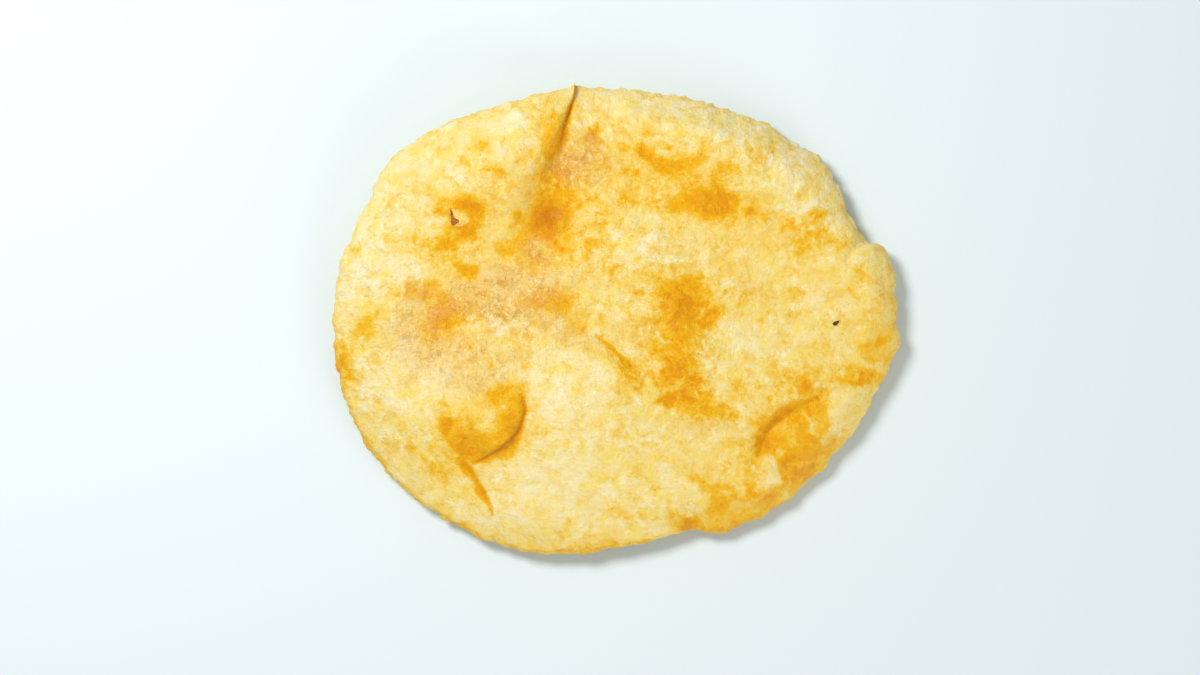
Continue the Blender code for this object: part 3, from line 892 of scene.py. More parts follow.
    # Streaks of frying colour and of painted shade.
    brown_and_shade_lines: tuple[Streak, ...] = (
        Streak(  # Pleat's pocket: painted shade under the overhanging flap.
            ((-0.0172, 0.0905), (-0.0178, 0.0860), (-0.0194, 0.0805), (-0.0212, 0.0745), (-0.0222, 0.0695),
             (-0.0236, 0.0655), (-0.0262, 0.0615)),
            left=(0.0012, 0.0020, 0.0036, 0.0036, 0.0012), right=(0.0006, 0.0008, 0.0006),
            strength=0.85, crispness=2.6,
        ),
        Streak(  # Pleat's deepest line: painted shade in the fold.
            ((-0.0162, 0.0905), (-0.0166, 0.0860), (-0.0182, 0.0805), (-0.0200, 0.0745), (-0.0210, 0.0695),
             (-0.0226, 0.0655), (-0.0254, 0.0620)),
            left=(0.0006, 0.0008, 0.0006), right=(0.0006, 0.0008, 0.0005), strength=1.15,
        ),
        Streak(  # Under the lip: the lip's painted shadow.
            ((-0.0370, -0.0290), (-0.0360, -0.0342), (-0.0370, -0.0384), (-0.0384, -0.0425), (-0.0420, -0.0466),
             (-0.0461, -0.0496), (-0.0507, -0.0532), (-0.0550, -0.0550)),
            left=(0.0010, 0.0014, 0.0018, 0.0030, 0.0046, 0.0044, 0.0022, 0.0010), right=(0.0006, 0.0008, 0.0006),
            strength=0.95, crispness=3.0,
        ),
        Streak(  # Lip's deepest line: painted shade in the fold.
            ((-0.0368, -0.0300), (-0.0358, -0.0342), (-0.0368, -0.0384), (-0.0382, -0.0425), (-0.0418, -0.0466),
             (-0.0459, -0.0496), (-0.0507, -0.0532), (-0.0550, -0.0550)),
            left=(0.0008, 0.0012, 0.0015, 0.0015, 0.0010), right=(0.0007, 0.0010, 0.0007), strength=1.20,
        ),
        Streak(  # Band inside the lip: frying colour, and painted shade on the lip's slope that faces away from the light.
            ((-0.0652, -0.0410), (-0.0622, -0.0466), (-0.0570, -0.0508), (-0.0520, -0.0500), (-0.0474, -0.0468),
             (-0.0440, -0.0420), (-0.0424, -0.0370), (-0.0410, -0.0315)),
            left=(0.0040, 0.0044, 0.0036, 0.0028, 0.0020, 0.0016, 0.0012),
            right=(0.0030, 0.0036, 0.0042, 0.0052, 0.0060, 0.0060, 0.0048),
            strength=0.80, crispness=3.0,
        ),
        Streak(  # Crease under the lip: painted shade in the fold.
            ((-0.0606, -0.0548), (-0.0570, -0.0580), (-0.0538, -0.0630), (-0.0510, -0.0680), (-0.0486, -0.0720),
             (-0.0476, -0.0755)),
            left=(0.0016, 0.0018, 0.0010, 0.0016, 0.0012, 0.0006),
            right=(0.0016, 0.0030, 0.0018, 0.0030, 0.0014, 0.0006),
            strength=0.72, crispness=4.0,
        ),
        Streak(  # Right furrow: frying colour, and painted shade in the trough.
            ((0.0545, -0.0525), (0.0566, -0.0468), (0.0600, -0.0418), (0.0648, -0.0378), (0.0700, -0.0345),
             (0.0760, -0.0318)),
            left=(0.0018, 0.0040, 0.0048, 0.0044, 0.0030), right=(0.0010, 0.0012, 0.0014),
            strength=0.72, crispness=3.0,
        ),
        Streak(  # Right furrow's deepest line: painted shade in the trough.
            ((0.0548, -0.0520), (0.0566, -0.0468), (0.0600, -0.0420), (0.0645, -0.0382)),
            left=(0.0012, 0.0022, 0.0020, 0.0010), right=(0.0006, 0.0006), strength=0.70,
        ),
        Streak(  # Right furrow, far end.
            ((0.0790, -0.0285), (0.0850, -0.0235), (0.0905, -0.0215), (0.0965, -0.0200)),
            left=(0.0012, 0.0018, 0.0014), right=(0.0010, 0.0012, 0.0010), strength=0.34,
        ),
        Streak(  # Line on the diagonal.
            ((-0.0085, -0.0065), (-0.0020, -0.0120), (0.0030, -0.0175), (0.0095, -0.0235)),
            left=(0.0012, 0.0018, 0.0026, 0.0030), right=(0.0005, 0.0006, 0.0006), strength=0.66, crispness=3.0,
        ),
        Streak(  # Chain of freckles.
            ((-0.0102, 0.0708), (-0.0072, 0.0698), (-0.0038, 0.0678), (0.0027, 0.0670), (0.0073, 0.0650),
             (0.0115, 0.0627), (0.0178, 0.0604)),
            left=(0.0006, 0.0010, 0.0008, 0.0014), right=(0.0007, 0.0008, 0.0010, 0.0014), strength=0.42,
        ),
    )
    # Painted shade: crisp darker orange-brown in the folds and furrows, in the hollow at the pleat's foot and,
    # weaker, on the brown middle.
    crease_shades: tuple[Patch | Streak, ...] = (
        *patches(
            (-26.2, 39.1, 5.2, 4.1, 0.90, 25), (26.2, 4.0, 3.4, 5.0, 0.26),
        ),
        Streak(  # Pleat.
            ((-0.0162, 0.0905), (-0.0168, 0.0860), (-0.0184, 0.0805), (-0.0202, 0.0745), (-0.0212, 0.0700),
             (-0.0226, 0.0665)),
            left=(0.0004, 0.0006, 0.0009, 0.0008, 0.0004), right=(0.0004, 0.0005, 0.0004), strength=0.70,
        ),
        Streak(  # Lip.
            ((-0.0364, -0.0310), (-0.0356, -0.0345), (-0.0364, -0.0385), (-0.0379, -0.0423), (-0.0415, -0.0464),
             (-0.0456, -0.0496), (-0.0505, -0.0534), (-0.0546, -0.0552)),
            left=(0.0004, 0.0006, 0.0010, 0.0010, 0.0012, 0.0008, 0.0004),
            right=(0.0004, 0.0007, 0.0008, 0.0007, 0.0004),
            strength=0.95,
        ),
        Streak(  # Right furrow.
            ((0.0550, -0.0515), (0.0568, -0.0466), (0.0602, -0.0418), (0.0645, -0.0382)),
            left=(0.0005, 0.0008, 0.0004), right=(0.0004, 0.0004), strength=0.30,
        ),
        Streak(  # Under the lip.
            ((-0.0586, -0.0568), (-0.0545, -0.0620), (-0.0515, -0.0675), (-0.0490, -0.0715)),
            left=(0.0004, 0.0008, 0.0004), right=(0.0004, 0.0006, 0.0004), strength=0.22,
        ),
    )
    smooth: tuple[Patch | Streak, ...] = (
        *patches(
            (-51.0, -39.0, 9.0, 6.0, 0.80), (-26.5, 37.0, 6.0, 6.0, 0.35), (33.0, 49.0, 16.0, 4.5, 0.25),
            (60.0, -39.0, 8.0, 7.0, 0.60), (56.0, 20.0, 20.0, 12.0, 0.20),
        ),
        Streak(  # Stretched skin beside the pleat.
            ((-0.0260, 0.0700), (-0.0300, 0.0600), (-0.0345, 0.0500), (-0.0385, 0.0400), (-0.0425, 0.0290),
             (-0.0470, 0.0190)),
            left=(0.0030, 0.0040, 0.0050), right=(0.0035, 0.0060, 0.0060), strength=1.0,
        ),
    )
    # Places kept pale: unbrowned skin, and painted light on the lit wedge, the glazed puff's ridge and the bottom
    # rim.
    bare_and_lit: tuple[Patch | Streak, ...] = (
        *patches(
            # The pleat and its foot.
            (-35.1, 45.7, 3.0, 4.5, 0.80),
            # The torn blister and the upper left.
            (-59.2, 38.8, 3.0, 3.0, 0.80), (-62.0, 49.0, 3.0, 3.0, 0.80),
            # Between the pleat and the crescent.
            (-11.8, 83.0, 3.4, 7.5, 0.90),
            # The crescent's inner edge and end.
            (53.5, 52.0, 8.5, 3.8, 0.80), (72.9, 47.7, 4.5, 3.4, 0.80),
            # The hump and the middle.
            (6.0, 19.0, 9.0, 4.2, 0.80),
            # The valley and the diagonal.
            (-10.0, 28.4, 3.4, 5.5, 0.70),
            # The left hollow and the left rim.
            (-104.0, 4.0, 4.0, 7.0, 0.90), (-81.4, -26.2, 6.4, 4.8, 1.00), (-99.0, 29.0, 4.5, 9.0, 0.90),
            # The lower left puff and rim.
            (-50.0, -40.8, 4.2, 3.4, 0.42, 20), (-39.0, -79.7, 7.0, 4.0, 0.90), (-85.8, -44.2, 4.2, 7.0, 0.90),
            (-85.5, -37.0, 6.2, 3.4, 0.95, -30), (-40.9, -77.5, 5.0, 4.0, 1.00),
            # The bottom and its notch.
            (9.3, -82.8, 11.0, 4.0, 0.90), (32.4, -75.8, 3.8, 3.2, 0.60),
            # The right furrow and the glazed puffs.
            (67.2, -46.1, 4.2, 3.6, 0.40), (63.0, -51.2, 1.3, 1.6, 0.80), (86.0, -44.0, 4.0, 5.0, 0.70, -30),
        ),
        LIT_WEDGE,
        Streak(  # Glazed puff, ridge: a painted highlight, kept pale.
            ((0.0722, -0.0365), (0.0745, -0.0400), (0.0752, -0.0440)),
            left=(0.0008, 0.0006), right=(0.0008, 0.0006), strength=0.65,
        ),
    )
    # Pale skin, and painted light where slopes catch it: the lit wedge, the lit slope of the lower right puff and
    # the crescent's right slope.
    cream_and_lit: tuple[Patch | Streak, ...] = (
        *patches(
            # The pleat and its foot.
            (-39.0, 72.0, 11.0, 10.0, 0.95),
            # The torn blister and the upper left.
            (-73.5, 58.0, 24.0, 14.0, 0.80, 25), (-93.0, 41.0, 12.0, 18.0, 0.90),
            # Between the pleat and the crescent.
            (-11.8, 83.0, 4.0, 8.0, 1.00), (24.0, 53.5, 5.0, 4.0, 0.60), (29.0, 74.0, 8.0, 5.0, 0.80),
            (28.5, 79.5, 33.0, 6.0, 0.60, -8), (3.0, 83.5, 12.0, 4.5, 0.50), (1.5, 40.0, 8.5, 8.5, 0.35),
            # The crescent's inner edge and end; the patch at 70.0, 54.0 is partly painted light on the crescent's
            # right slope.
            (65.0, 48.0, 12.0, 3.6, 0.90, -10), (70.0, 54.0, 18.5, 11.5, 0.95, -35), (87.0, 30.0, 6.0, 6.0, 0.70),
            # The hump and the middle.
            (7.0, 37.5, 9.0, 5.0, 0.70, 30), (40.0, -2.0, 4.5, 9.0, 0.90), (39.0, 8.0, 5.0, 4.0, 0.25),
            (33.0, 22.0, 7.0, 6.0, 0.60), (11.0, 26.0, 11.0, 9.0, 0.80),
            # Below the middle.
            (46.0, -11.0, 15.5, 10.0, 0.90), (38.0, -47.0, 13.0, 7.0, 0.50), (9.5, -35.5, 9.5, 9.5, 0.45),
            # The valley and the diagonal.
            (-6.0, 5.0, 10.0, 7.0, 0.35),
            # The left hollow and the left rim.
            (-98.5, 29.0, 11.0, 27.0, 1.50), (-84.0, -7.5, 8.0, 5.0, 1.00), (-85.0, 19.0, 6.0, 5.0, 0.60),
            # The lower left puff and rim.
            (-81.0, -27.0, 13.0, 9.0, 1.30), (-40.9, -77.8, 6.0, 4.5, 1.00), (-81.5, -28.5, 15.5, 14.0, 0.60),
            (-66.0, -70.0, 19.5, 6.0, 0.60, -30), (-54.5, -40.0, 5.0, 4.5, 0.50),
            # The dome.
            (-28.0, -60.0, 11.0, 9.0, 0.50), (-21.5, -27.5, 17.0, 19.0, 1.00), (-21.5, -62.3, 25.0, 15.0, 0.85),
            # The bottom and its notch.
            (11.0, -82.0, 9.0, 4.0, 0.80), (15.1, -56.0, 6.0, 8.0, 0.90), (49.8, -62.3, 4.0, 4.0, 0.80),
            (23.0, -69.0, 13.0, 6.0, 0.90),
            # The right furrow and the glazed puffs; the patch at 88.5, -33.5 is painted light on the puff's lit
            # slope.
            (63.3, -18.0, 6.0, 4.0, 0.50), (88.5, -33.5, 8.5, 9.5, 1.00, 30), (76.5, -42.0, 2.2, 5.5, 0.70, -30),
            # The right flat and rim.
            (86.5, 20.6, 6.0, 6.0, 0.60), (99.0, 22.0, 7.0, 7.0, 0.35),
        ),
        LIT_WEDGE,
    )
    # Dusting and grain of the skin, which also carry painted shade in the valley, the hollows and beside the
    # pleat.
    dust_and_shade: tuple[Patch, ...] = patches(
        (-15.0, 60.5, 13.0, 10.5, 1.00), (-31.8, 26.0, 5.8, 10.8, 0.75), (-37.0, 9.0, 18.5, 11.0, 1.00),
        (-58.5, 8.0, 18.0, 7.0, 0.60), (-77.0, -3.5, 13.0, 11.0, 0.60), (-65.0, -13.0, 21.5, 7.5, 0.65),
        (-53.5, -24.5, 15.5, 5.5, 0.60), (24.5, -20.5, 14.0, 18.0, 0.30), (48.0, 12.0, 8.5, 4.0, 0.45),
        (37.0, -41.0, 23.0, 5.5, 0.40), (103.5, 11.0, 4.5, 17.0, 0.25), (28.5, 56.5, 21.0, 4.0, 0.45, -8),
        (-16.0, -6.5, 13.0, 6.0, 0.35, -35), (9.5, -6.5, 10.0, 7.5, 0.35), (87.0, 40.0, 7.5, 4.0, 0.40, -45),
    )
    glazed: tuple[Patch, ...] = patches(
        (70.0, -49.0, 11.0, 12.0, 1.00), (57.5, -68.5, 7.0, 6.0, 0.90), (27.5, 6.0, 9.0, 9.0, 0.60),
        (-26.0, 40.5, 8.0, 9.0, 0.60), (-48.0, -43.0, 12.0, 9.0, 0.70),
    )
    sway: tuple[Lumps, ...] = (
        Lumps(0.0012, 0.0085, 51),
        Lumps(0.0012, 0.0085, 52),
        Lumps(0.0008, 0.0030, 53),
        Lumps(0.0008, 0.0030, 54),
    )
    edge_width: Point = (0.0016, 0.0084)
    edge_strength: Point = (0.12, 0.92)
    edge_crispness: float = 1.6
    edge_low_turn: float = 0.35
    edge_low_level: float = 0.35
    edge_low_run: float = 1.1
    edge_wide_turn: float = 0.70
    edge_wide_level: float = -0.3
    edge_wide_gain: float = 1.3
    edge_lost_to_brown_and_shade: float = 0.6
    under_spots: int = 34
    under_out: Point = (0.2, 0.92)
    under_size: Point = (0.0025, 0.0095)
    under_oval: Point = (0.45, 0.95)
    under_strength: Point = (0.3, 0.9)
    under_seed: int = 61
    under_reach: Point = (0.105, 0.086)
    under_cream: float = 0.35

    @staticmethod
    def union(marks: tuple[Patch | Streak, ...], x: Array, y: Array) -> Array:
        """Strength of several marks laid over each other.

        Args:
            marks: The marks.
            x, y: Places on the bread.

        Returns:
            The strengths, from 0 to 1.
        """
        left = np.ones_like(x)
        for mark in marks:
            left *= 1.0 - np.minimum(mark.at(x, y), 1.0)
        return 1.0 - left

    def under_marks(self) -> tuple[Patch, ...]:
        """Draws the brown spots of the underside, most of them away from its middle.

        Returns:
            The spots.
        """
        draw = np.random.default_rng(self.under_seed)
        marks = []
        for _ in range(self.under_spots):
            out = draw.uniform(*self.under_out)
            bearing = draw.uniform(0.0, 2.0 * math.pi)
            size = draw.uniform(*self.under_size)
            across, up = self.under_reach
            centre = (across * out * math.cos(bearing), up * out * math.sin(bearing))
            reach = (size, size * draw.uniform(*self.under_oval))
            strength = draw.uniform(*self.under_strength)
            marks.append(Patch(centre, reach, strength, draw.uniform(0.0, 180.0)))
        return tuple(marks)

    def shades(self, skins: Skins, under: bool) -> dict[Shade, Array]:
        """Strength of each kind of colour at every point of one skin.

        Args:
            skins: The shaped skins.
            under: Whether the underside is meant.

        Returns:
            One array for each shade.
        """
        x = skins.x + self.sway[0].at(skins.x, skins.y) + self.sway[2].at(skins.x, skins.y)
        y = skins.y + self.sway[1].at(skins.x, skins.y) + self.sway[3].at(skins.x, skins.y)
        low = ease((self.edge_low_level - np.sin(skins.angle + self.edge_low_turn)) / self.edge_low_run)
        wide = self.edge_wide_gain * np.cos(skins.angle + self.edge_wide_turn) + self.edge_wide_level
        width = blend(self.edge_width, ease(wide))
        edge = np.exp(-((skins.inward / width) ** self.edge_crispness)) * blend(self.edge_strength, low)
        marks = self.under_marks() if under else self.browned_and_shaded
        halos = () if under else self.halos
        brown_and_shade_lines = () if under else self.brown_and_shade_lines
        dust_and_shade = self.union(self.dust_and_shade, -x if under else x, y)
        glazed = np.zeros_like(x) if under else self.union(self.glazed, x, y)
        cream_and_lit = self.under_cream * np.ones_like(x) if under else self.union(self.cream_and_lit, x, y)
        left_bare = 1.0 if under else 1.0 - self.union(self.bare_and_lit, skins.x, skins.y)
        # Frying colour, with the painted shade of the streaks and of a few patches.
        browned_and_shaded = np.maximum(self.union((*marks, *halos), x, y) * left_bare, self.union(brown_and_shade_lines, skins.x, skins.y))
        return {
            Shade.BROWNED_AND_SHADED: browned_and_shaded,
            Shade.CREAM_AND_LIT: cream_and_lit,
            Shade.DUST_AND_SHADE: dust_and_shade,
            Shade.GOLDEN_EDGE: edge * left_bare * (1.0 - self.edge_lost_to_brown_and_shade * np.minimum(browned_and_shaded, 1.0)),
            Shade.GLAZED: glazed,
            Shade.SMOOTH: np.zeros_like(x) if under else self.union(self.smooth, x, y) - skins.curds,
            Shade.CREASE: np.zeros_like(x) if under else self.union(self.crease_shades, skins.x, skins.y),
            Shade.PIT_SHADE: skins.pits,
        }


def finished(name: str, form: bmesh.types.BMesh, material: bpy.types.Material) -> bpy.types.Object:
    """Turns a form into a smooth piece of the scene.

    Args:
        name: The piece's name.
        form: Its form, which is used up.
        material: What it is made of.

    Returns:
        The piece.
    """
    mesh = bpy.data.meshes.new(name)
    form.to_mesh(mesh)
    form.free()
    mesh.shade_smooth()
    mesh.materials.append(material)
    piece = bpy.data.objects.new(name, mesh)
    bpy.context.scene.collection.objects.link(piece)
    return piece


class Graph:
    """A material's nodes, laid by short calls."""

    def __init__(self, name: str) -> None:
        """Starts a material with its shader.

        Args:
            name: The material's name.
        """
        self.material = bpy.data.materials.new(name)
        self.material.use_nodes = True
        self.tree = self.material.node_tree
        self.shader = self.tree.nodes["Principled BSDF"]
        self.place = self.node("ShaderNodeTexCoord").outputs["Object"]

    def node(self, kind: str, **settings: Any) -> bpy.types.Node:
        """Adds a node.

        Args:
            kind: The node's type.
            settings: Its plain settings.

        Returns:
            The node.
        """
        made = self.tree.nodes.new(kind)
        for key, value in settings.items():
            setattr(made, key, value)
        return made

    def feed(self, socket: bpy.types.NodeSocket, value: Any) -> None:
        """Gives a socket its value.

        Args:
            socket: The socket to feed.
            value: Another socket to link into it, or a number or colour.
        """
        if isinstance(value, bpy.types.NodeSocket):
            self.tree.links.new(value, socket)
        else:
            socket.default_value = value

    def attribute(self, shade: Shade) -> bpy.types.NodeSocket:
        """The strength of one kind of colour, as the mesh holds it."""
        return self.node("ShaderNodeAttribute", attribute_name=shade.value).outputs["Fac"]

    def noise(self, lump: float, detail: float, rough: float, sway: float = 0.0) -> bpy.types.NodeSocket:
        """Random pattern from 0 to 1.

        Args:
            lump: Size of one lump in metres.
            detail: How many finer layers there are.
            rough: How strong the finer layers are.
            sway: How far the pattern is pulled about.

        Returns:
            The pattern's value.
        """
        made = self.node("ShaderNodeTexNoise")
        self.feed(made.inputs["Vector"], self.place)
        self.feed(made.inputs["Scale"], 1.0 / lump)
        self.feed(made.inputs["Detail"], detail)
        self.feed(made.inputs["Roughness"], rough)
        self.feed(made.inputs["Distortion"], sway)
        return made.outputs["Fac"]

    def cells(self, size: float) -> bpy.types.NodeSocket:
        """A pattern of cells, as small blisters pack.

        Args:
            size: Size of one cell in metres.

        Returns:
            Distance from the nearest cell's middle.
        """
        made = self.node("ShaderNodeTexVoronoi")
        self.feed(made.inputs["Vector"], self.place)
        self.feed(made.inputs["Scale"], 1.0 / size)
        return made.outputs["Distance"]

    def sum(self, first: Any, second: Any, gain: float = 1.0) -> bpy.types.NodeSocket:
        """Adds one value to another.

        Args:
            first: The value that is added to.
            second: The value that is added.
            gain: How much of the second counts.

        Returns:
            The sum.
        """
        made = self.node("ShaderNodeMath", operation="MULTIPLY_ADD")
        self.feed(made.inputs[0], second)
        self.feed(made.inputs[1], gain)
        self.feed(made.inputs[2], first)
        return made.outputs[0]

    def times(self, first: Any, second: Any) -> bpy.types.NodeSocket:
        """Multiplies two values.

        Args:
            first, second: The values.

        Returns:
            Their product.
        """
        made = self.node("ShaderNodeMath", operation="MULTIPLY")
        self.feed(made.inputs[0], first)
        self.feed(made.inputs[1], second)
        return made.outputs[0]

    def between(
        self, value: Any, low: float, high: float, to_low: float = 0.0, to_high: float = 1.0, soft: bool = True
    ) -> bpy.types.NodeSocket:
        """Carries a value from one range to another and holds it there.

        Args:
            value: The value.
            low, high: The range that it comes from.
            to_low, to_high: The range that it goes to.
            soft: Whether it eases in and out, or else runs straight.

        Returns:
            The carried value.
        """
        made = self.node("ShaderNodeMapRange", interpolation_type="SMOOTHSTEP" if soft else "LINEAR")
        for name, number in (("From Min", low), ("From Max", high), ("To Min", to_low), ("To Max", to_high)):
            self.feed(made.inputs[name], number)
        self.feed(made.inputs["Value"], value)
        return made.outputs["Result"]

    def mix(self, share: Any, first: Any, second: Any) -> bpy.types.NodeSocket:
        """Colour between two others.

        Args:
            share: How much of the second shows.
            first, second: The colours.

        Returns:
            The mixed colour.
        """
        made = self.node("ShaderNodeMix", data_type="RGBA")
        self.feed(made.inputs["Factor"], share)
        self.feed(made.inputs["A"], first)
        self.feed(made.inputs["B"], second)
        return made.outputs["Result"]

    def ramp(self, value: Any, stops: tuple[tuple[float, Colour], ...]) -> bpy.types.NodeSocket:
        """Colour that follows a value.

        Args:
            value: The value, from 0 to 1.
            stops: Places on the ramp and their colours.

        Returns:
            The colour.
        """
        made = self.node("ShaderNodeValToRGB")
        ramp = made.color_ramp
        while len(ramp.elements) < len(stops):
            ramp.elements.new(0.5)
        for element, (place, colour) in zip(ramp.elements, stops):
            element.position = place
            element.color = colour
        self.feed(made.inputs["Fac"], value)
        return made.outputs["Color"]

    def bump(self, height: Any, depth: float, strength: Any = 1.0, under: Any = None) -> bpy.types.NodeSocket:
        """Bump of a height from 0 to 1.

        Args:
            height: The height's pattern.
            depth: What a height of 1 stands for, in metres.
            strength: How much of it is used.
            under: A bump that this one is laid on.

        Returns:
            The bumped normal.
        """
        made = self.node("ShaderNodeBump")
        self.feed(made.inputs["Distance"], depth)
        self.feed(made.inputs["Strength"], strength)
        self.feed(made.inputs["Height"], height)
        if under is not None:
            self.feed(made.inputs["Normal"], under)
        return made.outputs["Normal"]


@dataclass(frozen=True)
class Pattern:
    """A random pattern of the skin, and the marks that stand out of it from one of its values to another."""

    lump: float
    detail: float
    rough: float
    sway: float = 0.0
    low: float = 0.0
    high: float = 1.0
    weakest: float = 0.0
    strongest: float = 1.0

    def value(self, graph: Graph) -> bpy.types.NodeSocket:
        """The pattern itself, from 0 to 1."""
        return graph.noise(self.lump, self.detail, self.rough, self.sway)

    def marks(self, graph: Graph) -> bpy.types.NodeSocket:
        """Strength of the marks, from the weakest to the strongest."""
        return graph.between(self.value(graph), self.low, self.high, self.weakest, self.strongest)

    def breaks(self, graph: Graph, strength: Any, gain: float) -> bpy.types.NodeSocket:
        """Breaks up a colour's strength; the middle of the pattern leaves it as it is.

        Args:
            graph: The material's nodes.
            strength: The strength to break up.
            gain: How much the pattern counts.

        Returns:
            The uneven strength.
        """
        return graph.sum(graph.sum(strength, self.value(graph), gain), -0.5 * gain)


@dataclass(frozen=True)
class FriedCrust:
    """Crust of dough fried in oil: pale to gold, brown in patches, slightly oily, with painted shade in its folds
    and hollows and painted light on a few lit slopes.
    """

    tones: tuple[tuple[float, Colour], ...] = (
        (0.00, srgb(253, 243, 208)),
        (0.20, srgb(252, 234, 177)),
        (0.36, srgb(250, 223, 137)),
        (0.52, srgb(247, 208, 93)),
        (0.66, srgb(246, 194, 42)),
        (0.78, srgb(243, 182, 6)),
        (0.90, srgb(241, 172, 4)),
        (1.00, srgb(233, 158, 2)),
    )
    plain_tone: float = 0.325
    blotches: Pattern = Pattern(0.0125, 3.0, 0.55, 0.6)
    blotch_gain: float = 0.44
    mottle: Pattern = Pattern(0.0040, 5.0, 0.64, 0.5)
    fine: Pattern = Pattern(0.0014, 4.0, 0.70, 0.3)
    pores: Pattern = Pattern(0.0006, 2.0, 0.60)
    marks: tuple[tuple[Pattern, float], ...] = (
        (Pattern(0.0080, 4.0, 0.58, 0.7, 0.48, 0.60), 0.34),
        (Pattern(0.0042, 4.0, 0.58, 0.5, 0.54, 0.64), 0.26),
        (Pattern(0.0021, 3.0, 0.55, 0.3, 0.60, 0.70), 0.16),
        (Pattern(0.0050, 4.0, 0.60, 0.5, 0.53, 0.63), -0.34),
    )
    marks_level: float = -0.70
    marks_gain: float = 0.44
    fine_gain: float = 0.40
    liveliness: Pattern = Pattern(0.0200, 1.0, 0.50, 0.0, 0.35, 0.62, 0.60, 1.25)
    evened: Span = (-1.0, 1.0, 1.75, 0.15)
    calmed: Span = (0.2, 1.0, 1.0, 0.68)
    # Painted shade darkens the tone through the dusting, the shaded streaks and the pits, and painted light pales
    # it on lit slopes.
    shade_gains: tuple[tuple[Shade, float], ...] = (
        (Shade.CREAM_AND_LIT, -0.18), (Shade.DUST_AND_SHADE, 0.06), (Shade.GOLDEN_EDGE, 0.34), (Shade.BROWNED_AND_SHADED, 0.28),
        (Shade.PIT_SHADE, 0.05),
    )
    stains: Pattern = Pattern(0.0060, 5.0, 0.60, 0.8)
    stain_break: float = 1.2
    stained: Point = (0.14, 0.74)
    stain_gain: float = 0.14
    freckles: Pattern = Pattern(0.0034, 4.0, 0.60, 0.6)
    freckle_break: float = 1.5
    freckled: Point = (0.30, 0.52)
    freckle_gain: float = 0.15
    ring_size: float = 0.0075
    ring_inside: Point = (0.22, 0.30)
    ring_outside: Span = (0.30, 0.42, 1.0, 0.0)
    ringed: Pattern = Pattern(0.0042, 1.0, 0.55, 0.0, 0.50, 0.62)
    ring_gain: float = 0.10
    lemony: Pattern = Pattern(0.0060, 3.0, 0.55, 0.5, 0.48, 0.64, 0.0, 0.55)
    lemon_on_pale: Span = (0.30, 0.62, 1.0, 0.0)
    # Dusting, which also carries painted shade in the hollows: its pattern, how brown skin and the edge lose it,
    # and how much of it shows.
    dust_and_shade_pattern: Pattern = Pattern(0.0080, 4.0, 0.60, 0.6)
    dust_and_shade_gain: float = 0.9
    dust_and_shade_on_brown_and_shade: float = -0.60
    dust_and_shade_on_edge: float = -0.90
    dust_and_shade_shown: Span = (0.45, 1.25, 0.0, 0.42)
    dust_grainy: Point = (0.50, 1.20)
    dust_dry: Span = (0.0, 0.9, 0.35, 0.95)
    grains: Pattern = Pattern(0.0019, 5.0, 0.70, 0.6, 0.50, 0.62, 0.0, 0.55)
    grain_size: float = 0.0011
    clumps: Pattern = Pattern(0.0070, 2.0, 0.60, 0.0, 0.42, 0.58, 0.35, 1.0)
    specks: tuple[Pattern, ...] = (
        Pattern(0.0030, 4.0, 0.64, 0.5, 0.54, 0.60, 0.0, 0.52),
        Pattern(0.0014, 4.0, 0.64, 0.5, 0.54, 0.60, 0.0, 0.50),
    )
    specks_lost_to_brown_and_shade: Span = (0.30, 0.90, 1.0, 0.35)
    lemon: Colour = srgb(250, 224, 94)
    # Beige of the dusting, which also stands for painted shade in the hollows.
    dust_and_shade_colour: Colour = srgb(233, 194, 126)
    speck: Colour = srgb(207, 149, 52)
    # Painted shade of the folds.
    crease_shade: Colour = srgb(208, 124, 0)
    grain: Colour = srgb(251, 232, 182)
    gloss_tint: Colour = (1.0, 0.80, 0.42, 1.0)
    gloss: float = 0.42
    roughness: float = 0.42
    glazed_roughness: float = 0.28
    fine_roughness: float = 0.12
    subsurface: float = 0.22
    subsurface_radius: tuple[float, float, float] = (1.0, 0.42, 0.12)
    subsurface_depth: float = 0.0040
    coat: float = 0.05
    coat_roughness: float = 0.26
    grain_depth: float = 0.00026
    fine_depth: float = 0.00080
    pore_depth: float = 0.00034

    def tone(self, graph: Graph, fine: Any) -> bpy.types.NodeSocket:
        """How far the skin is fried at each point, from pale at 0 to brown at 1, darker where shade is painted and
        paler where light is painted.

        Args:
            graph: The material's nodes.
            fine: The pattern of about a millimetre.

        Returns:
            The tone.
        """
        evened = graph.between(graph.attribute(Shade.SMOOTH), *self.evened, soft=False)
        calmed = graph.between(graph.attribute(Shade.CREAM_AND_LIT), *self.calmed)
        lively = graph.times(graph.times(self.liveliness.marks(graph), evened), calmed)
        marks = graph.sum(graph.sum(self.marks_level, self.mottle.value(graph)), fine, self.fine_gain)
        for pattern, gain in self.marks:
            marks = graph.sum(marks, pattern.marks(graph), gain)

        browned_and_shaded = graph.attribute(Shade.BROWNED_AND_SHADED)
        stain = graph.between(self.stains.breaks(graph, browned_and_shaded, self.stain_break), *self.stained)
        freckle = graph.between(self.freckles.breaks(graph, browned_and_shaded, self.freckle_break), *self.freckled)
        cells = graph.cells(self.ring_size)
        ring = graph.times(graph.between(cells, *self.ring_inside), graph.between(cells, *self.ring_outside))
        ring = graph.times(ring, self.ringed.marks(graph))

        tone = self.blotches.breaks(graph, self.plain_tone, self.blotch_gain)
        tone = graph.sum(tone, graph.times(marks, lively), self.marks_gain)
        for shade, gain in self.shade_gains:
            tone = graph.sum(tone, graph.attribute(shade), gain)
        for spots, gain in ((stain, self.stain_gain), (freckle, self.freckle_gain), (ring, self.ring_gain)):
            tone = graph.sum(tone, spots, gain)
        return tone

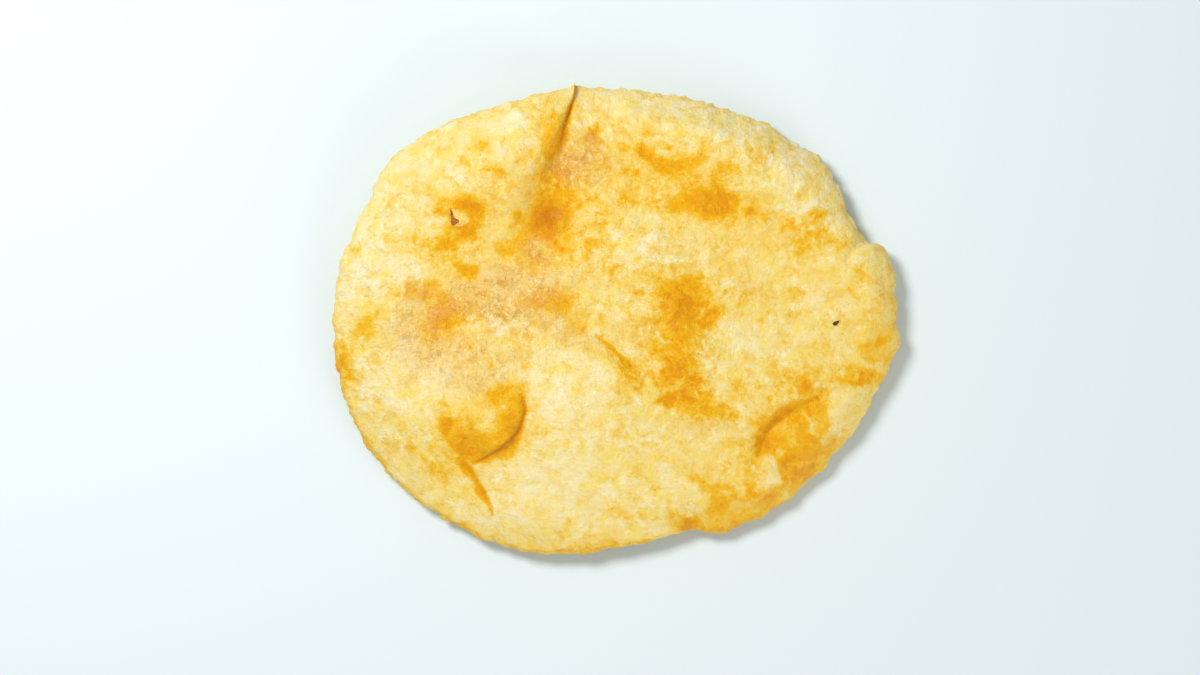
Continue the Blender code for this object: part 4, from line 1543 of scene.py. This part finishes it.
    def colour(self, graph: Graph, tone: Any) -> bpy.types.NodeSocket:
        """Colour of the skin: its tone, touched with lemon, then dusting that also stands for painted shade in the
        hollows, pale grains and brown specks.

        Args:
            graph: The material's nodes.
            tone: How far the skin is fried.

        Returns:
            The colour.
        """
        browned_and_shaded, golden = graph.attribute(Shade.BROWNED_AND_SHADED), graph.attribute(Shade.GOLDEN_EDGE)
        pale = graph.between(tone, *self.lemon_on_pale)
        colour = graph.mix(graph.times(self.lemony.marks(graph), pale), graph.ramp(tone, self.tones), self.lemon)
        dust_and_shade_level = graph.sum(graph.attribute(Shade.DUST_AND_SHADE), self.dust_and_shade_pattern.value(graph), self.dust_and_shade_gain)
        dust_and_shade_level = graph.sum(graph.sum(dust_and_shade_level, browned_and_shaded, self.dust_and_shade_on_brown_and_shade), golden, self.dust_and_shade_on_edge)
        colour = graph.mix(graph.between(dust_and_shade_level, *self.dust_and_shade_shown), colour, self.dust_and_shade_colour)
        grainy = graph.between(dust_and_shade_level, *self.dust_grainy)
        colour = graph.mix(graph.times(self.grains.marks(graph), grainy), colour, self.grain)
        faded = graph.times(grainy, graph.between(browned_and_shaded, *self.specks_lost_to_brown_and_shade))
        speckled = graph.times(self.clumps.marks(graph), faded)
        for specks in self.specks:
            colour = graph.mix(graph.times(specks.marks(graph), speckled), colour, self.speck)
        return colour

    def material(self) -> bpy.types.Material:
        """Builds the crust's material.

        Returns:
            The material.
        """
        graph = Graph("fried_crust")
        fine = self.fine.value(graph)
        colour = self.colour(graph, self.tone(graph, fine))
        # Painted shade: darker orange-brown along the folds and furrows and at the pleat's foot.
        colour = graph.mix(graph.attribute(Shade.CREASE), colour, self.crease_shade)
        sheen = graph.sum(self.roughness, graph.attribute(Shade.GLAZED), self.glazed_roughness - self.roughness)
        for name, value in (
            ("Base Color", colour),
            ("Roughness", graph.sum(sheen, fine, self.fine_roughness)),
            ("Specular IOR Level", self.gloss),
            ("Specular Tint", self.gloss_tint),
            ("Coat Weight", self.coat),
            ("Coat Roughness", self.coat_roughness),
            ("Subsurface Weight", self.subsurface),
            ("Subsurface Radius", self.subsurface_radius),
            ("Subsurface Scale", self.subsurface_depth),
        ):
            graph.feed(graph.shader.inputs[name], value)

        dry = graph.between(graph.attribute(Shade.DUST_AND_SHADE), *self.dust_dry)
        normal = graph.bump(graph.cells(self.grain_size), self.grain_depth, dry)
        normal = graph.bump(fine, self.fine_depth, 1.0, normal)
        normal = graph.bump(self.pores.value(graph), self.pore_depth, 1.0, normal)
        graph.feed(graph.shader.inputs["Normal"], normal)
        return graph.material


@dataclass(frozen=True)
class Crumb:
    """Dry dough of two colours, burnt or torn open."""

    name: str
    colour: Colour
    spots: Colour
    roughness: float
    lump: float
    spotted: Point
    depth: float

    def material(self) -> bpy.types.Material:
        """Builds the material.

        Returns:
            The material.
        """
        graph = Graph(self.name)
        grain = graph.noise(self.lump, 3.0, 0.6)
        colour = graph.mix(graph.between(grain, *self.spotted), self.colour, self.spots)
        graph.feed(graph.shader.inputs["Base Color"], colour)
        graph.feed(graph.shader.inputs["Roughness"], self.roughness)
        graph.feed(graph.shader.inputs["Normal"], graph.bump(grain, self.depth))
        return graph.material


@dataclass
class Crust:
    """The bread itself: one closed skin that stands for the whole solid."""

    form: BreadForm = field(default_factory=BreadForm)
    browning_and_shading: BrowningAndShading = field(default_factory=BrowningAndShading)
    finish: FriedCrust = field(default_factory=FriedCrust)
    name: str = "fried_crust"
    cells: int = 340
    weld: float = 1e-7
    faces_kept: int = 192000

    def raw_mesh(self) -> bpy.types.Mesh:
        """Shapes a grid and its copy as top and underside, and welds them at the rim.

        Returns:
            The closed mesh, with one number a point for each shade.
        """
        form = bmesh.new()
        layers = {shade: form.verts.layers.float.new(shade.value) for shade in Shade}
        bmesh.ops.create_grid(form, x_segments=self.cells, y_segments=self.cells, size=1.0)
        verts = list(form.verts)
        copied = bmesh.ops.duplicate(form, geom=verts + list(form.edges) + list(form.faces))
        under_faces = [item for item in copied["geom"] if isinstance(item, bmesh.types.BMFace)]
        bmesh.ops.reverse_faces(form, faces=under_faces)
        twins = [copied["vert_map"][vert] for vert in verts]
        skins = self.form.skins(np.array([vert.co[:2] for vert in verts]))
        for skin, places, under in ((verts, skins.top, False), (twins, skins.under, True)):
            for vert, place in zip(skin, places):
                vert.co = place
            for shade, values in self.browning_and_shading.shades(skins, under).items():
                for vert, value in zip(skin, values):
                    vert[layers[shade]] = value
        bmesh.ops.remove_doubles(form, verts=form.verts, dist=self.weld)
        bmesh.ops.triangulate(form, faces=form.faces)
        mesh = bpy.data.meshes.new(self.name)
        form.to_mesh(mesh)
        form.free()
        return mesh

    def fit(self, mesh: bpy.types.Mesh, low: Vector, high: Vector) -> None:
        """Moves and sizes the mesh so that its box is the solid's.

        Args:
            mesh: The mesh to change.
            low, high: The box's corners.
        """
        points = np.empty(len(mesh.vertices) * 3)
        mesh.vertices.foreach_get("co", points)
        points = points.reshape(-1, 3)
        lowest, highest = points.min(axis=0), points.max(axis=0)
        size = (np.array(high) - np.array(low)) / (highest - lowest)
        points = np.array(low) + (points - lowest) * size
        mesh.vertices.foreach_set("co", points.ravel())
        mesh.update()
        LOG.info("crust sized by %s", np.round(size, 4))

    def build(self) -> bpy.types.Object:
        """Makes the crust, dresses it and puts it in the solid's place.

        Returns:
            The crust.
        """
        raw = self.raw_mesh()
        crust = bpy.data.objects.new(self.name, raw)
        bpy.context.scene.collection.objects.link(crust)
        thin = crust.modifiers.new("fewer_faces", "DECIMATE")
        thin.ratio = self.faces_kept / len(raw.polygons)
        shown = crust.evaluated_get(bpy.context.evaluated_depsgraph_get())
        crust.data = bpy.data.meshes.new_from_object(shown)
        crust.modifiers.clear()
        self.fit(crust.data, *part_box(NODE))
        crust.data.shade_smooth()
        crust.data.materials.append(self.finish.material())
        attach(crust, BODY)
        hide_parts(NODE)
        return crust


def height_on(crust: bpy.types.Object, x: float, y: float) -> float:
    """Height of the crust's top at a place."""
    return crust.ray_cast(Vector((x, y, ABOVE)), Vector((0.0, 0.0, -1.0)))[1].z


@dataclass
class CharFleck:
    """A burnt crumb that sticks to the top on the right."""

    centre: Point = (0.0842, -0.0018)
    size: tuple[float, float, float] = (0.00125, 0.00070, 0.00045)
    turn: float = 28.0
    dents: int = 9
    dent_depth: float = 0.05
    dent_tightness: float = 4.0
    seed: int = 71
    finish: Crumb = Crumb("charred_crumb", srgb(46, 34, 16), srgb(96, 66, 24), 0.75, 0.0004, (0.45, 0.75), 0.00015)

    def build(self, crust: bpy.types.Object) -> bpy.types.Object:
        """Makes the fleck and seats it in the crust.

        Args:
            crust: The crust that carries it.

        Returns:
            The fleck.
        """
        middle = np.array([*self.centre, height_on(crust, *self.centre) + 0.5 * self.size[2]])
        form = bmesh.new()
        bmesh.ops.create_icosphere(form, subdivisions=4, radius=1.0)
        pulls = np.random.default_rng(self.seed).normal(size=(self.dents, 3))
        pulls /= np.linalg.norm(pulls, axis=1)[:, None]
        for vert in form.verts:
            way = np.array(vert.co)
            dents = np.sin(self.dent_tightness * pulls @ way + np.arange(self.dents))
            x, y, z = way * (1.0 + self.dent_depth * float(np.sum(dents))) * np.array(self.size)
            vert.co = middle + (*turned(x, y, -math.radians(self.turn)), z)
        fleck = finished("charred_fleck", form, self.finish.material())
        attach(fleck, BODY)
        return fleck


@dataclass
class TornBlister:
    """A blister on the left that has torn open: a small brown hollow with a pale flap beside it."""

    hollow: tuple[Point, ...] = (
        (-0.0634, 0.0419), (-0.0629, 0.0412), (-0.0625, 0.0402), (-0.0627, 0.0396), (-0.0618, 0.0380),
        (-0.0604, 0.0375), (-0.0601, 0.0367), (-0.0612, 0.0362), (-0.0618, 0.0356), (-0.0628, 0.0357),
        (-0.0632, 0.0370), (-0.0631, 0.0386), (-0.0633, 0.0398), (-0.0630, 0.0404), (-0.0635, 0.0411),
    )
    torn_edge: tuple[Point, ...] = (
        (-0.0630, 0.0418), (-0.0624, 0.0402), (-0.0621, 0.0392), (-0.0614, 0.0381), (-0.0601, 0.0376),
        (-0.0600, 0.0365), (-0.0610, 0.0360), (-0.0622, 0.0350),
    )
    hinge: tuple[Point, ...] = (
        (-0.0612, 0.0424), (-0.0596, 0.0412), (-0.0588, 0.0398), (-0.0572, 0.0397), (-0.0558, 0.0383),
        (-0.0564, 0.0366), (-0.0582, 0.0352), (-0.0606, 0.0345),
    )
    lift: float = 0.0008
    edge_fullness: float = 0.7
    curl: float = 1.6
    hinge_sink: int = 4
    thickness: float = 0.0003
    proud: float = 0.00008
    rows: int = 12
    unevenness: Lumps = Lumps(0.00030, 0.0014, 81)
    inside: Crumb = Crumb("torn_hollow", srgb(150, 80, 14), srgb(196, 118, 30), 0.6, 0.0008, (0.42, 0.66), 0.00025)
    flap: Crumb = Crumb("torn_flap", srgb(250, 213, 122), srgb(238, 182, 72), 0.6, 0.0008, (0.42, 0.66), 0.00025)

    def piece(self, form: bmesh.types.BMesh, finish: Crumb) -> bpy.types.Object:
        """Gives an open skin its thickness and its finish.

        Args:
            form: The open skin, facing up.
            finish: What it looks like, which also names it.

        Returns:
            The piece.
        """
        bmesh.ops.recalc_face_normals(form, faces=form.faces)
        if sum(face.normal.z for face in form.faces) < 0.0:
            bmesh.ops.reverse_faces(form, faces=form.faces)
        bmesh.ops.solidify(form, geom=form.faces, thickness=self.thickness)
        bmesh.ops.recalc_face_normals(form, faces=form.faces)
        piece = finished(finish.name, form, finish.material())
        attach(piece, BODY)
        return piece

    def build_hollow(self, crust: bpy.types.Object) -> bpy.types.Object:
        """Makes the hollow's brown floor, which follows the crust's dent.

        Args:
            crust: The crust that carries it.

        Returns:
            The floor.
        """
        form = bmesh.new()
        line = smooth_curve(self.hollow, 5, closed=True)
        bmesh.ops.contextual_create(form, geom=[form.verts.new((x, y, 0.0)) for x, y in line])
        bmesh.ops.triangulate(form, faces=form.faces)
        bmesh.ops.subdivide_edges(form, edges=form.edges, cuts=2, use_grid_fill=True)
        for vert in form.verts:
            vert.co.z = height_on(crust, vert.co.x, vert.co.y) + self.proud
        return self.piece(form, self.inside)

    def build_flap(self, crust: bpy.types.Object) -> bpy.types.Object:
        """Makes the flap, which stands up at its torn edge and runs into the skin at its hinge.

        Args:
            crust: The crust that carries it.

        Returns:
            The flap.
        """
        form = bmesh.new()
        torn, hinge = smooth_curve(self.torn_edge, 6), smooth_curve(self.hinge, 6)
        rows = []
        for across in np.linspace(0.0, 1.0, self.rows):
            row = []
            for along, (start, end) in enumerate(zip(torn, hinge)):
                x, y = start + (end - start) * across
                free = math.sin(math.pi * along / (len(torn) - 1)) ** self.edge_fullness
                rise = self.lift * free * (1.0 - across) ** self.curl + self.thickness * (free - 0.5)
                rise += float(self.unevenness.at(np.array([x]), np.array([y]))[0]) * free
                rise -= self.thickness * across**self.hinge_sink
                row.append(form.verts.new((x, y, height_on(crust, x, y) + rise)))
            rows.append(row)
        for near, far in zip(rows, rows[1:]):
            for a, b, c, d in zip(near, near[1:], far[1:], far):
                form.faces.new((a, b, c, d))
        return self.piece(form, self.flap)


@dataclass(frozen=True)
class Lamp:
    """A round soft light that faces the bread."""

    name: str
    place: tuple[float, float, float]
    size: float
    power: float
    colour: tuple[float, float, float]

    def build(self) -> None:
        """Makes the light."""
        data = bpy.data.lights.new(self.name, "AREA")
        data.shape = "DISK"
        data.size = self.size
        data.energy = self.power
        data.color = self.colour
        lamp = bpy.data.objects.new(self.name, data)
        lamp.location = self.place
        lamp.rotation_euler = (-Vector(self.place)).to_track_quat("-Z", "Y").to_euler()
        bpy.context.scene.collection.objects.link(lamp)


@dataclass
class Studio:
    """A plain pale floor, soft light from the upper left, and a camera straight above."""

    floor_colour: Colour = srgb(222, 235, 241)
    floor_size: float = 6.0
    floor_roughness: float = 0.7
    view_centre: tuple[float, float, float] = (-0.0062, -0.0073, 0.011)
    view_width: float = 0.463
    lens: float = 85.0
    sensor: float = 36.0
    sky_colour: Colour = (1.0, 0.985, 0.96, 1.0)
    sky_strength: float = 0.40
    lamps: tuple[Lamp, ...] = (
        Lamp("key", (-0.46, 0.42, 0.88), 0.32, 8.9, (1.0, 0.985, 0.95)),
        Lamp("fill", (0.80, -0.95, 0.42), 0.90, 8.0, (1.0, 0.965, 0.90)),
    )

    def floor(self) -> bpy.types.Object:
        """Makes the floor that the bread lies on.

        Returns:
            The floor.
        """
        form = bmesh.new()
        bmesh.ops.create_grid(form, x_segments=2, y_segments=2, size=self.floor_size / 2)
        graph = Graph("floor_paint")
        graph.feed(graph.shader.inputs["Base Color"], self.floor_colour)
        graph.feed(graph.shader.inputs["Roughness"], self.floor_roughness)
        floor = finished("floor", form, graph.material)
        return floor

    def lights(self) -> None:
        """Sets the lamps and an even sky."""
        for lamp in self.lamps:
            lamp.build()
        world = bpy.data.worlds.new("sky")
        world.use_nodes = True
        sky = world.node_tree.nodes["Background"]
        sky.inputs["Color"].default_value = self.sky_colour
        sky.inputs["Strength"].default_value = self.sky_strength
        bpy.context.scene.world = world

    def camera(self) -> None:
        """Sets the camera above the bread, framed as the photograph is."""
        data = bpy.data.cameras.new("camera")
        data.lens = self.lens
        data.sensor_width = self.sensor
        camera = bpy.data.objects.new("camera", data)
        distance = self.view_width * self.lens / self.sensor
        camera.location = Vector(self.view_centre) + Vector((0.0, 0.0, distance))
        bpy.context.scene.collection.objects.link(camera)
        bpy.context.scene.camera = camera

    def build(self) -> None:
        """Makes the floor, the lights and the camera, and sets plain colours."""
        self.floor()
        self.lights()
        self.camera()
        bpy.context.scene.view_settings.view_transform = "Standard"


def main() -> None:
    """Builds the crust, its fleck and torn blister, and the studio."""
    logging.basicConfig(level=logging.INFO, format="%(name)s: %(message)s")
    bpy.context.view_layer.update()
    crust = Crust().build()
    LOG.info("%s: %d faces", crust.name, len(crust.data.polygons))
    fleck = CharFleck().build(crust)
    LOG.info("%s: %d faces", fleck.name, len(fleck.data.polygons))
    blister = TornBlister()
    for piece in (blister.build_hollow(crust), blister.build_flap(crust)):
        LOG.info("%s: %d faces", piece.name, len(piece.data.polygons))
    Studio().build()
    LOG.info("studio set")


if __name__ == "__main__":
    main()
